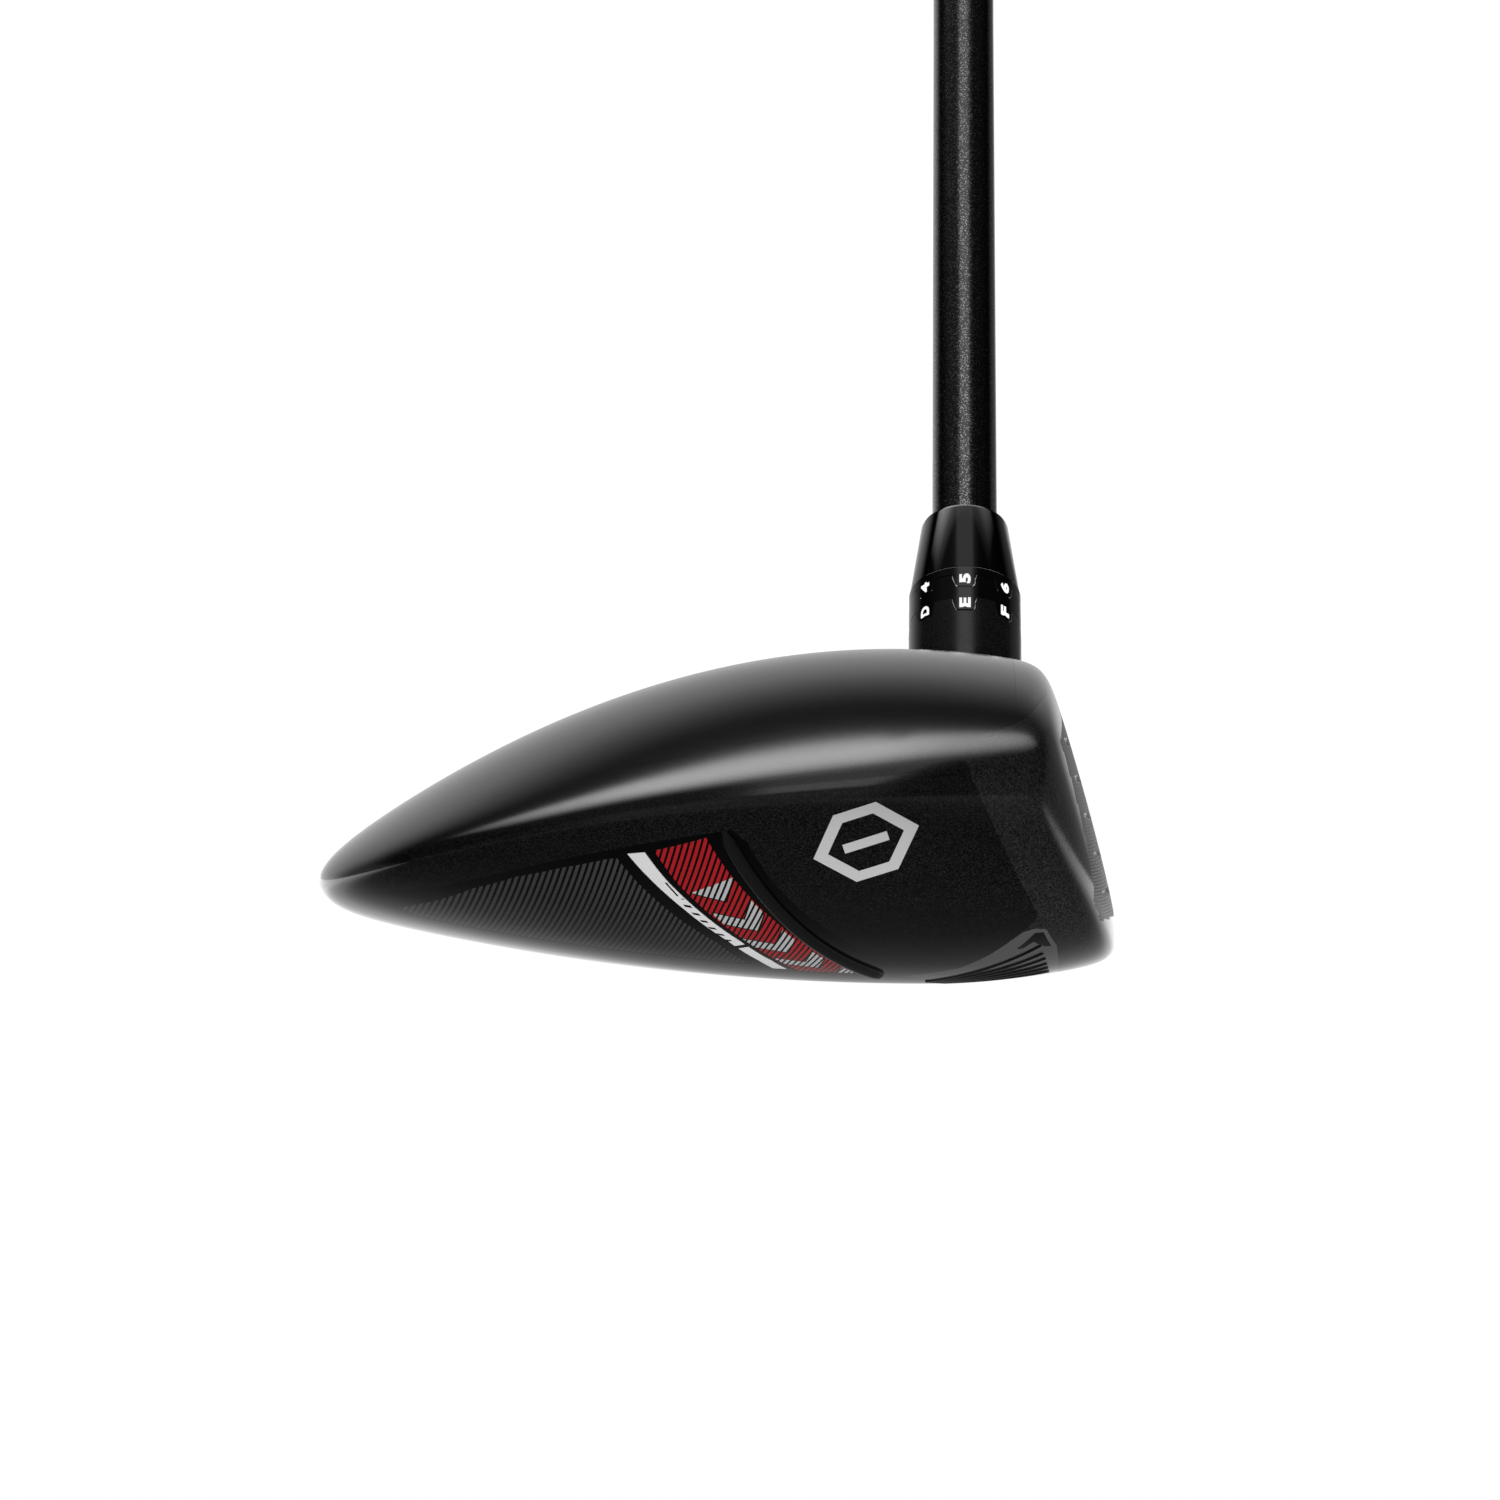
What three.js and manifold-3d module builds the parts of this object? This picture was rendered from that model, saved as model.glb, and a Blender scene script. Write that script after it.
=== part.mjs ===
// A right-handed 3-wood: hollow metal head, bonded crown, front cup and inlaid sole pieces,
// and a rotating hosel adapter that carries the shaft and the grip.
// Millimetres. Origin: the flat rest spot of the sole. +X target, +Y heel, +Z up.
import * as THREE from 'three';
import { mergeVertices } from 'three/addons/utils/BufferGeometryUtils.js';
import Module from 'manifold-3d';

const wasm = await Module();
wasm.setup();

// ---- driving dimensions -------------------------------------------------------------
const GAP = 0.3; // clearance kept between neighbouring pieces
const LIE = THREE.MathUtils.degToRad(58);
const LOFT = THREE.MathUtils.degToRad(15);
const CLUB_LENGTH = 1092; // along the shaft axis, from the ground to the butt
const AXIS_FOOT = new THREE.Vector3(5.4, 31, 0); // where the shaft axis meets the ground

const CROWN = { top: 37.5, x: -3.2, y: 2, curve: 0.0057, blend: 1.0, wall: 1.2 };
const SOLE = { dip: 0.12, rear: 0.0018, front: 0.0056, rise: 16.5, toe: 46, heel: 54, power: 2.6, blend: 2.2, wall: 2.0 };
const FACE = { x: 22.6, z: 6, mid: 18, bulge: 290, roll: 300, blend: 1.1, wall: 2.4 };
const PLAN = { x: -19.5, rear: 49.4, front: 49.5, toe: 50.5, heel: 53, power: 2.1, blend: 2.6, wall: 1.6 };
const CORE = new THREE.Vector3(-12, 0, 19); // centre that every ray of the head starts from
const RAYS = { around: 42, down: 18 };

const HOSEL = { radius: 7.25, top: 49.3, bore: 6.1, floor: 17, web: 2.5, portRadius: 5.6 };
const TEETH = { count: 8, depth: 1.85, tip: 0.4, root: 0.56, reach: 12, above: 0.6 }; // tip and root: share of the pitch
const SLEEVE = { top: 54.25, crown: 53.07, radius: 5.8, bore: 4.55, bottom: 19, hole: 2.8, holeTop: 30.5 };
const RING_TOP = SLEEVE.crown - GAP;
const FERRULE = { bottom: 54.55, top: 65.3, wide: 7.15, narrow: 5.6 };
const SHAFT = { tip: 31, butt: CLUB_LENGTH - 4, tipRadius: 4.25, midRadius: 4.34, buttRadius: 7.6, wall: 1.3 };
const GRIP = { length: 268, mouth: 9.0, butt: 13.2, bore: 0.7 };
const SCREW = { head: 4.2, headHeight: 3.1, shank: 2.5, drive: 1.9, tip: 27 };
const WEIGHT = { x: -53, radius: 5.4, head: 2.6, stem: 2.9, stemLength: 3.4, boss: 7.4, bossDepth: 7.5 };

// The rail on the toe side of the sole, from its outer end to its inner end.
const RAIL = { from: [-19.2, -46.2], to: [-3.6, -19.8], radius: 0.75 };
const EMBLEM = { x: -4.9, z: 16.7, half: 5.6, rise: 3.6, corner: 0.4, turn: 0.31, opening: 0.72, proud: 0.2, sunk: 0.35 };
const INLAY = { depth: 1.1, thickness: 0.8 };
const DOME = { rear: 41.5, front: 40, toe: 39.5, heel: 41, cut: 10.5 }; // the crown shell's outline in plan
const RIM = { x: -61, z: 14.4, slope: 0.18 }; // level of the crown shell's edge
const LEDGE = { step: 0.5, thickness: 1.5, width: 4.5 };
const BAR = { size: [9, 46, 12], middle: [8.5, -5, 0] };

// ---- solids from three.js geometry ----------------------------------------------------
function solid(geometry) {
  const plain = geometry.index ? geometry.toNonIndexed() : geometry.clone();
  plain.deleteAttribute('normal');
  plain.deleteAttribute('uv');
  const merged = mergeVertices(plain, 1e-5);
  return new wasm.Manifold(new wasm.Mesh({
    numProp: 3,
    vertProperties: new Float32Array(merged.attributes.position.array),
    triVerts: new Uint32Array(merged.index.array),
  }));
}

function placed(geometry, matrix) {
  return solid(geometry.clone().applyMatrix4(matrix));
}

function geometryOf(manifold) {
  const { vertProperties, triVerts } = manifold.getMesh();
  const geometry = new THREE.BufferGeometry();
  geometry.setAttribute('position', new THREE.BufferAttribute(new Float32Array(vertProperties), 3));
  geometry.setIndex(new THREE.BufferAttribute(new Uint32Array(triVerts), 1));
  geometry.computeVertexNormals();
  return geometry;
}

function unionOf(first, ...rest) {
  return rest.reduce((sum, next) => sum.add(next), first);
}

function extruded(points, depth, holes = []) {
  const shape = new THREE.Shape(points.map(([x, y]) => new THREE.Vector2(x, y)));
  for (const hole of holes) shape.holes.push(new THREE.Path(hole.map(([x, y]) => new THREE.Vector2(x, y))));
  return new THREE.ExtrudeGeometry(shape, { depth, bevelEnabled: false });
}

// An upright prism over a plan outline.
function prism(points, bottom, top) {
  return placed(extruded(points, top - bottom), new THREE.Matrix4().makeTranslation(0, 0, bottom));
}

// A prism along Y over an outline given in X and Z.
function sidePrism(points, from, to) {
  const turn = new THREE.Matrix4().makeRotationX(Math.PI / 2);
  const move = new THREE.Matrix4().makeTranslation(0, to, 0);
  return placed(extruded(points, to - from), move.multiply(turn));
}

function turned(profile, sides = 24) {
  const points = profile.map(([r, z]) => new THREE.Vector2(r, z));
  points.push(points[0].clone());
  return new THREE.LatheGeometry(points, sides).rotateX(Math.PI / 2);
}

function tube(inner, outer, bottom, top, sides = 24) {
  return turned([[inner, bottom], [outer, bottom], [outer, top], [inner, top]], sides);
}

function rod(radius, bottom, top, sides = 24) {
  return new THREE.CylinderGeometry(radius, radius, top - bottom, sides)
    .rotateX(Math.PI / 2).translate(0, 0, (top + bottom) / 2);
}

// ---- the head's surface ---------------------------------------------------------------
// Depth of a point below each of the four faces of the head, blended into one rounded skin.
function skin(p, inset) {
  const { x, y, z } = p;
  const dx = x - CROWN.x;
  const dy = y - CROWN.y;
  const crownSlope = 2 * CROWN.curve * Math.hypot(dx, dy);
  const crown = (CROWN.top - CROWN.curve * (dx * dx + dy * dy) - z) / Math.hypot(1, crownSlope);

  const bend = x < 0 ? SOLE.rear : SOLE.front;
  const half = y < 0 ? SOLE.toe : SOLE.heel;
  const across = Math.abs(y) / half;
  const soleZ = bend * x * x + SOLE.rise * across ** SOLE.power - SOLE.dip;
  const slopeY = (SOLE.rise * SOLE.power / half) * across ** (SOLE.power - 1);
  const sole = (z - soleZ) / Math.hypot(1, 2 * bend * x, slopeY);

  const faceX = FACE.x - (z - FACE.z) * Math.tan(LOFT) - (y * y) / (2 * FACE.bulge)
    - (z - FACE.mid) ** 2 / (2 * FACE.roll);
  const face = (faceX - x) * Math.cos(LOFT);

  const lengthX = x < PLAN.x ? PLAN.rear : PLAN.front;
  const lengthY = y < 0 ? PLAN.toe : PLAN.heel;
  const u = Math.abs(x - PLAN.x) / lengthX + 1e-9;
  const v = Math.abs(y) / lengthY + 1e-9;
  const e = (u ** PLAN.power + v ** PLAN.power) ** (1 / PLAN.power);
  const steep = Math.hypot(u ** (PLAN.power - 1) / lengthX, v ** (PLAN.power - 1) / lengthY);
  const side = (1 - e) / (steep * e ** (1 - PLAN.power));

  const walls = [[crown, CROWN], [sole, SOLE], [face, FACE], [side, PLAN]];
  let sum = -1;
  for (const [depth, wall] of walls) {
    sum += Math.exp((inset.shell * wall.wall + inset.even - depth) / wall.blend);
  }
  return sum;
}

function along(origin, direction, inside, outside, inset) {
  let near = inside;
  let far = outside;
  const p = new THREE.Vector3();
  for (let i = 0; i < 36; i++) {
    const middle = (near + far) / 2;
    p.copy(direction).multiplyScalar(middle).add(origin);
    if (skin(p, inset) < 0) near = middle;
    else far = middle;
  }
  return p;
}

// The closed head surface, inset by `shell` wall thicknesses plus `even` millimetres.
function headGeometry(shell, even = 0) {
  const geometry = new THREE.SphereGeometry(1, RAYS.around, RAYS.down).rotateX(Math.PI / 2);
  const position = geometry.attributes.position;
  const direction = new THREE.Vector3();
  for (let i = 0; i < position.count; i++) {
    direction.fromBufferAttribute(position, i);
    direction.set(direction.x * 50, direction.y * 50, direction.z * 18).normalize();
    const p = along(CORE, direction, 0, 120, { shell, even });
    position.setXYZ(i, p.x, p.y, p.z);
  }
  return geometry;
}

function head(shell, even = 0) {
  return solid(headGeometry(shell, even));
}

// The point of the sole above a place in the plan.
function soleHeight(x, y) {
  const up = new THREE.Vector3(0, 0, -1);
  return along(new THREE.Vector3(x, y, 20), up, 0, 30, { shell: 0, even: 0 }).z;
}

// ---- outlines ---------------------------------------------------------------------------
// Crown outline in plan: a superellipse, cut straight behind the front cup.
function crownOutline(grow) {
  const points = [];
  const steps = 44;
  for (let i = 0; i < steps; i++) {
    const angle = (i / steps) * 2 * Math.PI;
    const c = Math.cos(angle);
    const s = Math.sin(angle);
    const lengthX = (c < 0 ? DOME.rear : DOME.front) + grow;
    const lengthY = (s < 0 ? DOME.toe : DOME.heel) + grow;
    const r = (Math.abs(c / lengthX) ** PLAN.power + Math.abs(s / lengthY) ** PLAN.power) ** (-1 / PLAN.power);
    points.push([Math.min(PLAN.x + r * c, DOME.cut + grow), r * s]);
  }
  return points.filter(([x, y], i) => {
    const [nextX] = points[(i + 1) % steps];
    const [lastX] = points[(i + steps - 1) % steps];
    return !(x === nextX && x === lastX);
  });
}

const railStart = new THREE.Vector2(...RAIL.from);
const railEnd = new THREE.Vector2(...RAIL.to);

function mirrored(points) {
  return points.map(([x, y]) => [x, -y]).reverse();
}

const panelOutline = [
  [-55.6, -25.2], [-52.6, -28.2], [-46.1, -34.3], [-41.2, -37.6], [-36.4, -39.9], [-31.5, -41.9],
  [-30.3, -42.2], [-28.4, -39.2], [-24.6, -33.8], [-20.9, -29.0], [-17.9, -22.8], [-53.8, -24],
];
const stripOutline = [
  [-29.2, -42.9], [-27.4, -43.3], [-25.4, -40.0], [-22.6, -35.9], [-18.5, -29.9], [-15.4, -24.4], [-14.0, -21.2],
  [-15.5, -21.2], [-16.8, -24.2], [-19.9, -29.9], [-24.0, -35.8], [-26.8, -39.6],
];
const badgeOutline = [
  [-26.4, -43.6], [-21.0, -45.4], [-18.6, -41.2], [-15.4, -36.0], [-11.4, -29.8], [-7.6, -24.4], [-5.2, -20.5],
  [-12.8, -20.5], [-14.6, -24.2], [-17.6, -29.6], [-21.7, -35.8], [-24.4, -39.9],
];

// The outline moved outwards by `by`, corner by corner.
function grown(points, by) {
  const sense = Math.sign(area(points));
  return points.map(([x, y], i) => {
    const [lastX, lastY] = points[(i + points.length - 1) % points.length];
    const [nextX, nextY] = points[(i + 1) % points.length];
    const before = new THREE.Vector2(x - lastX, y - lastY).normalize();
    const after = new THREE.Vector2(nextX - x, nextY - y).normalize();
    const middle = before.add(after).normalize();
    const reach = (by * sense) / Math.max(middle.dot(after), 0.5);
    return [x + middle.y * reach, y - middle.x * reach];
  });
}

function area(points) {
  return points.reduce((sum, [x, y], i) => {
    const [nextX, nextY] = points[(i + 1) % points.length];
    return sum + (x * nextY - nextX * y) / 2;
  }, 0);
}

// The emblem is a plain six-sided frame on the toe, given in X and Z.
function lozenge(scale, grow) {
  const cut = EMBLEM.corner;
  const corners = [[-1, 0], [-cut, -1], [cut, -1], [1, 0], [cut, 1], [-cut, 1]].map(([a, b]) => {
    const along = a * EMBLEM.half * scale;
    const up = b * EMBLEM.rise * scale;
    return [
      EMBLEM.x + along * Math.cos(EMBLEM.turn) - up * Math.sin(EMBLEM.turn),
      EMBLEM.z + along * Math.sin(EMBLEM.turn) + up * Math.cos(EMBLEM.turn),
    ];
  });
  return grown(corners, grow);
}

function emblemPrism(grow) {
  const whole = sidePrism(lozenge(1, grow), -60, -20);
  return whole.subtract(sidePrism(lozenge(EMBLEM.opening, -grow), -61, -19));
}

// ---- frames of the turned parts ---------------------------------------------------------
const tilt = new THREE.Euler(LIE - Math.PI / 2, 0, 0);
const hoselFrame = new THREE.Matrix4().makeRotationFromEuler(tilt).setPosition(AXIS_FOOT);

const weightSlope = Math.atan(2 * SOLE.rear * WEIGHT.x);
const weightFoot = new THREE.Vector3(WEIGHT.x, 0, soleHeight(WEIGHT.x, 0));
const weightTilt = new THREE.Euler(0, -weightSlope, 0);
const weightFrame = new THREE.Matrix4().makeRotationFromEuler(weightTilt).setPosition(weightFoot);

// ---- node list ------------------------------------------------------------------------
const club = new THREE.Group();
const onAxis = new THREE.Group();
onAxis.position.copy(AXIS_FOOT);
onAxis.rotation.copy(tilt);
const onWeight = new THREE.Group();
onWeight.position.copy(weightFoot);
onWeight.rotation.copy(weightTilt);
club.add(onAxis, onWeight);

function node(name, geometry, color, roughness, metalness, parent = club) {
  const mesh = new THREE.Mesh(geometry, new THREE.MeshStandardMaterial({ color, roughness, metalness }));
  mesh.name = name;
  parent.add(mesh);
}

// ---- head pieces ------------------------------------------------------------------------
const aboveGround = placed(new THREE.BoxGeometry(400, 400, 200), new THREE.Matrix4().makeTranslation(0, 0, 100));
const outer = head(0).intersect(aboveGround);
const shell = outer.subtract(head(1));

// Front cup: the face with a return over the crown edge, round the toe and under the sole.
function cupRegion(shift) {
  const toeSide = [
    [40, 50], [14, 50], [14, 32], [11.5, 29.3], [6, 27.2], [5, 26], [5, 24.6],
    [8.6, 17], [12.3, 9.5], [12.6, 8.6], [12.3, 8], [40, 8],
  ];
  const heelSide = [[40, 50], [14, 50], [14, 8], [40, 8]];
  const under = [
    [12.4, -60], [12.4, -33.6], [-1.3, -19.3], [6, -12], [6, 10], [12.5, 24], [12.5, 60], [40, 60], [40, -60],
  ];
  return unionOf(sidePrism(toeSide, -60, 0), sidePrism(heelSide, 0, 60), prism(under, -5, 8.5))
    .translate(shift, 0, -shift / 2);
}

const faceCup = shell.intersect(cupRegion(GAP));
node('face_cup', geometryOf(faceCup), 0x3b3b3d, 0.45, 0.6);

// Crown shell, resting on a ledge of the body. Both stay above a plane that rises to the front.
const rimHeight = (x) => RIM.z + RIM.slope * (x - RIM.x);
function aboveSlope(drop) {
  return sidePrism([[-80, rimHeight(-80) - drop], [40, rimHeight(40) - drop], [40, 80], [-80, 80]], -80, 80);
}
const aboveRim = aboveSlope(0);
function crownRegion(grow) {
  return prism(crownOutline(grow), 5, 70).intersect(aboveRim);
}
node('crown_shell', geometryOf(shell.intersect(crownRegion(0))), 0x2a2a2c, 0.35, 0.2);

const underLedge = head(1, GAP + LEDGE.thickness);
const ledgeRegion = crownRegion(LEDGE.thickness);
const ledgeUnder = head(1, GAP).subtract(underLedge)
  .intersect(ledgeRegion).subtract(prism(crownOutline(-LEDGE.width), 0, 80));
const ledgeStep = head(LEDGE.step).subtract(underLedge)
  .intersect(ledgeRegion).subtract(prism(crownOutline(GAP), 0, 80));

// Pockets and inlays of the sole.
const pocketFloor = head(0, INLAY.depth);
const aboveSole = aboveSlope(3);
const inlayShell = head(0).subtract(head(0, INLAY.thickness));
function pocket(points) {
  return prism(grown(points, GAP), -5, 40).subtract(pocketFloor).subtract(aboveSole);
}
function inlay(points) {
  return inlayShell.intersect(prism(points, -5, 40)).subtract(aboveSole);
}
const pockets = [];
for (const flip of [(points) => points, mirrored]) {
  const side = flip === mirrored ? 'heel' : 'toe';
  const pieces = [
    [`${side}_sole_panel`, panelOutline, 0x151517, 0.3, 0.1],
    [`${side}_badge`, badgeOutline, 0xb5202a, 0.35, 0.1],
    [`${side}_badge_strip`, stripOutline, 0xb9b9bb, 0.35, 0.7],
  ];
  for (const [name, outline, color, roughness, metalness] of pieces) {
    node(name, geometryOf(inlay(flip(outline))), color, roughness, metalness);
    pockets.push(pocket(flip(outline)));
  }
}
const emblem = head(0, -EMBLEM.proud).subtract(head(0, EMBLEM.sunk)).intersect(emblemPrism(0));
node('toe_emblem', geometryOf(emblem), 0xc4c4c6, 0.3, 0.8);
pockets.push(emblemPrism(GAP).subtract(head(0, EMBLEM.sunk + GAP)));

// Hosel tube, open at the top for the adapter and at the sole for its screw.
function hoselTeeth(bottom, grow) {
  const pitch = (2 * Math.PI) / TEETH.count;
  return Array.from({ length: TEETH.count }, (_, i) => tooth(i * pitch - Math.PI / 2, pitch, bottom, grow));
}

// One trapezoid tooth below `top`, as a wedge that runs out past the collar.
function tooth(angle, pitch, top, grow) {
  const { reach, above } = TEETH;
  const depth = TEETH.depth + grow;
  const wide = reach * Math.tan(pitch * TEETH.root / 2) + grow;
  const narrow = reach * Math.tan(pitch * TEETH.tip / 2) + grow;
  const shape = [[-wide, above], [-narrow, -depth], [narrow, -depth], [wide, above]];
  const wedge = extruded(shape, 1);
  const position = wedge.attributes.position;
  for (let i = 0; i < position.count; i++) {
    const share = position.getZ(i) < 0.5 ? 0.05 : 1;
    const x = position.getX(i) * share;
    const z = position.getY(i);
    position.setXYZ(i, share * reach, x, z + top);
  }
  const turn = new THREE.Matrix4().makeRotationZ(angle);
  return placed(wedge, turn);
}

const soleClip = head(0, -0.01).intersect(aboveGround);
const hoselLow = placed(rod(HOSEL.radius, 2, 22), hoselFrame).intersect(soleClip);
const hoselHigh = placed(rod(HOSEL.radius, 20, HOSEL.top), hoselFrame);
const hoselHollow = unionOf(
  placed(rod(HOSEL.bore, HOSEL.floor, 80), hoselFrame),
  placed(rod(SCREW.shank + GAP, 0, HOSEL.floor + 1), hoselFrame),
  placed(rod(HOSEL.portRadius, 0, HOSEL.floor - HOSEL.web), hoselFrame),
);
const hoselNotches = hoselTeeth(HOSEL.top, GAP).map((cut) => cut.transform(hoselFrame.elements));

// Boss for the rear weight, with its pocket and thread hole.
const boss = placed(rod(WEIGHT.boss, -1, WEIGHT.bossDepth), weightFrame).intersect(soleClip);
const weightSeat = 4.1;
const weightHollow = unionOf(
  placed(rod(WEIGHT.radius + GAP + 0.1, -4, weightSeat), weightFrame),
  placed(rod(WEIGHT.stem + GAP, 0, weightSeat + WEIGHT.stemLength - 0.6), weightFrame),
);

let body = shell.subtract(crownRegion(GAP));
for (const cut of pockets) body = body.subtract(cut);
const railHeights = Array.from({ length: 13 }, (_, i) => {
  const at = railStart.clone().lerp(railEnd, i / 12);
  return new THREE.Vector3(at.x, at.y, soleHeight(at.x, at.y));
});
for (const side of [1, -1]) {
  const curve = new THREE.CatmullRomCurve3(railHeights.map((p) => new THREE.Vector3(p.x, p.y * side, p.z)));
  const section = new THREE.Shape(new THREE.EllipseCurve(0, 0, RAIL.radius, RAIL.radius, 0, 2 * Math.PI).getPoints(8));
  const rail = new THREE.ExtrudeGeometry(section, { steps: 14, extrudePath: curve, bevelEnabled: false });
  body = body.add(solid(rail).subtract(head(1, -0.4)));
}
body = unionOf(body, ledgeUnder, ledgeStep, hoselLow, hoselHigh, boss);
body = body.subtract(cupRegion(0)).subtract(hoselHollow).subtract(weightHollow);
for (const cut of hoselNotches) body = body.subtract(cut);
node('body_casting', geometryOf(body), 0x2c2c2e, 0.5, 0.5);

// Tungsten bar on the inside of the sole, low behind the face.
const barPlace = new THREE.Matrix4().makeTranslation(...BAR.middle);
const bar = head(1, GAP).intersect(placed(new THREE.BoxGeometry(...BAR.size), barPlace));
node('internal_weight_bar', geometryOf(bar), 0x6c6c70, 0.5, 0.9);

// ---- adapter, on the hosel axis -----------------------------------------------------------
const collarCut = (teeth, base) => teeth.reduce((sum, cut) => sum.subtract(cut), base);
const ringTeeth = hoselTeeth(HOSEL.top, 0);
const collar = solid(tube(SLEEVE.radius + GAP, HOSEL.radius, HOSEL.top - 4, SLEEVE.top));

const ringLow = HOSEL.top + GAP;
let ring = solid(tube(SLEEVE.radius + GAP, HOSEL.radius, ringLow, RING_TOP));
for (const tip of ringTeeth) ring = ring.add(tip.intersect(collar));
ring = collarCut(hoselTeeth(RING_TOP, GAP), ring);
node('adapter_ring', geometryOf(ring), 0x2b2b2d, 0.45, 0.6, onAxis);

let sleeve = solid(tube(SLEEVE.bore, HOSEL.radius, SLEEVE.crown, SLEEVE.top));
for (const tip of hoselTeeth(SLEEVE.crown, 0)) sleeve = sleeve.add(tip.intersect(collar));
sleeve = unionOf(sleeve, solid(turned([
  [SLEEVE.hole, SLEEVE.bottom], [SLEEVE.radius, SLEEVE.bottom], [SLEEVE.radius, SLEEVE.top],
  [SLEEVE.bore, SLEEVE.top], [SLEEVE.bore, SLEEVE.holeTop], [SLEEVE.hole, SLEEVE.holeTop],
])), solid(tube(SLEEVE.bore, SLEEVE.radius + GAP + 0.1, SLEEVE.crown, SLEEVE.top)));
node('adapter_sleeve', geometryOf(sleeve), 0x2b2b2d, 0.45, 0.6, onAxis);

const ferruleRound = 0.5;
node('ferrule', turned([
  [SLEEVE.bore, FERRULE.bottom], [FERRULE.wide, FERRULE.bottom],
  [FERRULE.narrow + 0.08, FERRULE.top - ferruleRound], [FERRULE.narrow - 0.15, FERRULE.top - 0.15],
  [FERRULE.narrow - ferruleRound, FERRULE.top], [SLEEVE.bore, FERRULE.top],
]), 0x121214, 0.2, 0, onAxis);

// ---- shaft and grip -------------------------------------------------------------------------
const parallelTop = 155;
const parallelButt = 880;
const shaftProfile = [
  [SHAFT.tipRadius, SHAFT.tip], [SHAFT.tipRadius, FERRULE.top], [SHAFT.midRadius, parallelTop],
  [SHAFT.buttRadius, parallelButt], [SHAFT.buttRadius, SHAFT.butt],
];
const boreProfile = shaftProfile.map(([r, z]) => [r - SHAFT.wall, z]).reverse();
node('shaft', turned([...shaftProfile, ...boreProfile]), 0x141416, 0.35, 0.2, onAxis);
node('shaft_tip_plug', rod(SHAFT.tipRadius - SHAFT.wall - GAP, SHAFT.tip + 0.2, SHAFT.tip + 9, 20), 0x8a6a4a, 0.7, 0, onAxis);

function shaftRadius(z) {
  const share = THREE.MathUtils.clamp((z - parallelTop) / (parallelButt - parallelTop), 0, 1);
  return THREE.MathUtils.lerp(SHAFT.midRadius, SHAFT.buttRadius, share);
}

const gripMouth = CLUB_LENGTH - GRIP.length;
const tapeFrom = gripMouth + 10;
const tapeTo = SHAFT.butt - 3;
const tapeProfile = [tapeFrom, parallelButt, tapeTo].map((z) => [shaftRadius(z) + 0.2, z]);
node('grip_tape', turned([
  ...tapeProfile, ...tapeProfile.map(([r, z]) => [r + 0.3, z]).reverse(),
].reverse()), 0xd8cfb8, 0.8, 0, onAxis);

const capHole = 4.2;
node('grip', turned([
  [shaftRadius(gripMouth) + GRIP.bore, gripMouth], [GRIP.mouth, gripMouth], [GRIP.mouth + 0.2, gripMouth + 2],
  [11.3, CLUB_LENGTH - 110], [12.6, CLUB_LENGTH - 40], [GRIP.butt, CLUB_LENGTH - 8],
  [GRIP.butt, CLUB_LENGTH - 3], [GRIP.butt - 1, CLUB_LENGTH - 1], [GRIP.butt - 3, CLUB_LENGTH],
  [capHole + GAP, CLUB_LENGTH], [capHole + GAP, SHAFT.butt + GAP], [shaftRadius(SHAFT.butt) + GRIP.bore, SHAFT.butt + GAP],
  [shaftRadius(parallelButt) + GRIP.bore, parallelButt],
]), 0x1a1a1b, 0.85, 0, onAxis);
node('grip_cap', rod(capHole, SHAFT.butt + 0.2 + GAP, CLUB_LENGTH + 0.6, 24), 0x202022, 0.5, 0, onAxis);

// ---- hosel screw set ----------------------------------------------------------------------
const webBottom = HOSEL.floor - HOSEL.web;
const washerTop = webBottom - GAP;
const washerBottom = washerTop - 0.8;
const headTop = washerBottom - GAP;
node('hosel_screw_washer', tube(SCREW.shank + 0.2, SCREW.head + 0.6, washerBottom, washerTop), 0xa9a9ad, 0.4, 0.9, onAxis);
const screwBody = solid(turned([
  [0, headTop - SCREW.headHeight], [SCREW.head, headTop - SCREW.headHeight], [SCREW.head, headTop],
  [SCREW.shank, headTop], [SCREW.shank, SCREW.tip], [0, SCREW.tip],
]));
const drive = placed(new THREE.CylinderGeometry(SCREW.drive, SCREW.drive, 4, 6).rotateX(Math.PI / 2),
  new THREE.Matrix4().makeTranslation(0, 0, headTop - SCREW.headHeight));
node('hosel_screw', geometryOf(screwBody.subtract(drive)), 0x4a4a4d, 0.4, 0.9, onAxis);
node('screw_retainer', tube(SCREW.shank + 0.2, HOSEL.bore - 0.4, HOSEL.floor + GAP, HOSEL.floor + 1.3, 24), 0xdad7cc, 0.6, 0, onAxis);

// ---- rear weight set ------------------------------------------------------------------------
node('rear_weight_washer', tube(WEIGHT.stem + 0.2, WEIGHT.radius - 0.3, weightSeat - GAP - 0.7, weightSeat - GAP), 0x303032, 0.6, 0, onWeight);
const weightTop = weightSeat - 2 * GAP - 0.7;
const weightBody = solid(turned([
  [0, weightTop - WEIGHT.head], [WEIGHT.radius, weightTop - WEIGHT.head], [WEIGHT.radius, weightTop],
  [WEIGHT.stem, weightTop], [WEIGHT.stem, weightTop + WEIGHT.stemLength], [0, weightTop + WEIGHT.stemLength],
]));
const weightDrive = placed(new THREE.CylinderGeometry(2.2, 2.2, 3.2, 6).rotateX(Math.PI / 2),
  new THREE.Matrix4().makeTranslation(0, 0, weightTop - WEIGHT.head));
node('rear_weight', geometryOf(weightBody.subtract(weightDrive)), 0x8d8d90, 0.35, 0.9, onWeight);

export default club;
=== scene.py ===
import math

import bmesh
import bpy
import numpy as np
from mathutils import Matrix, Vector


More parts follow.
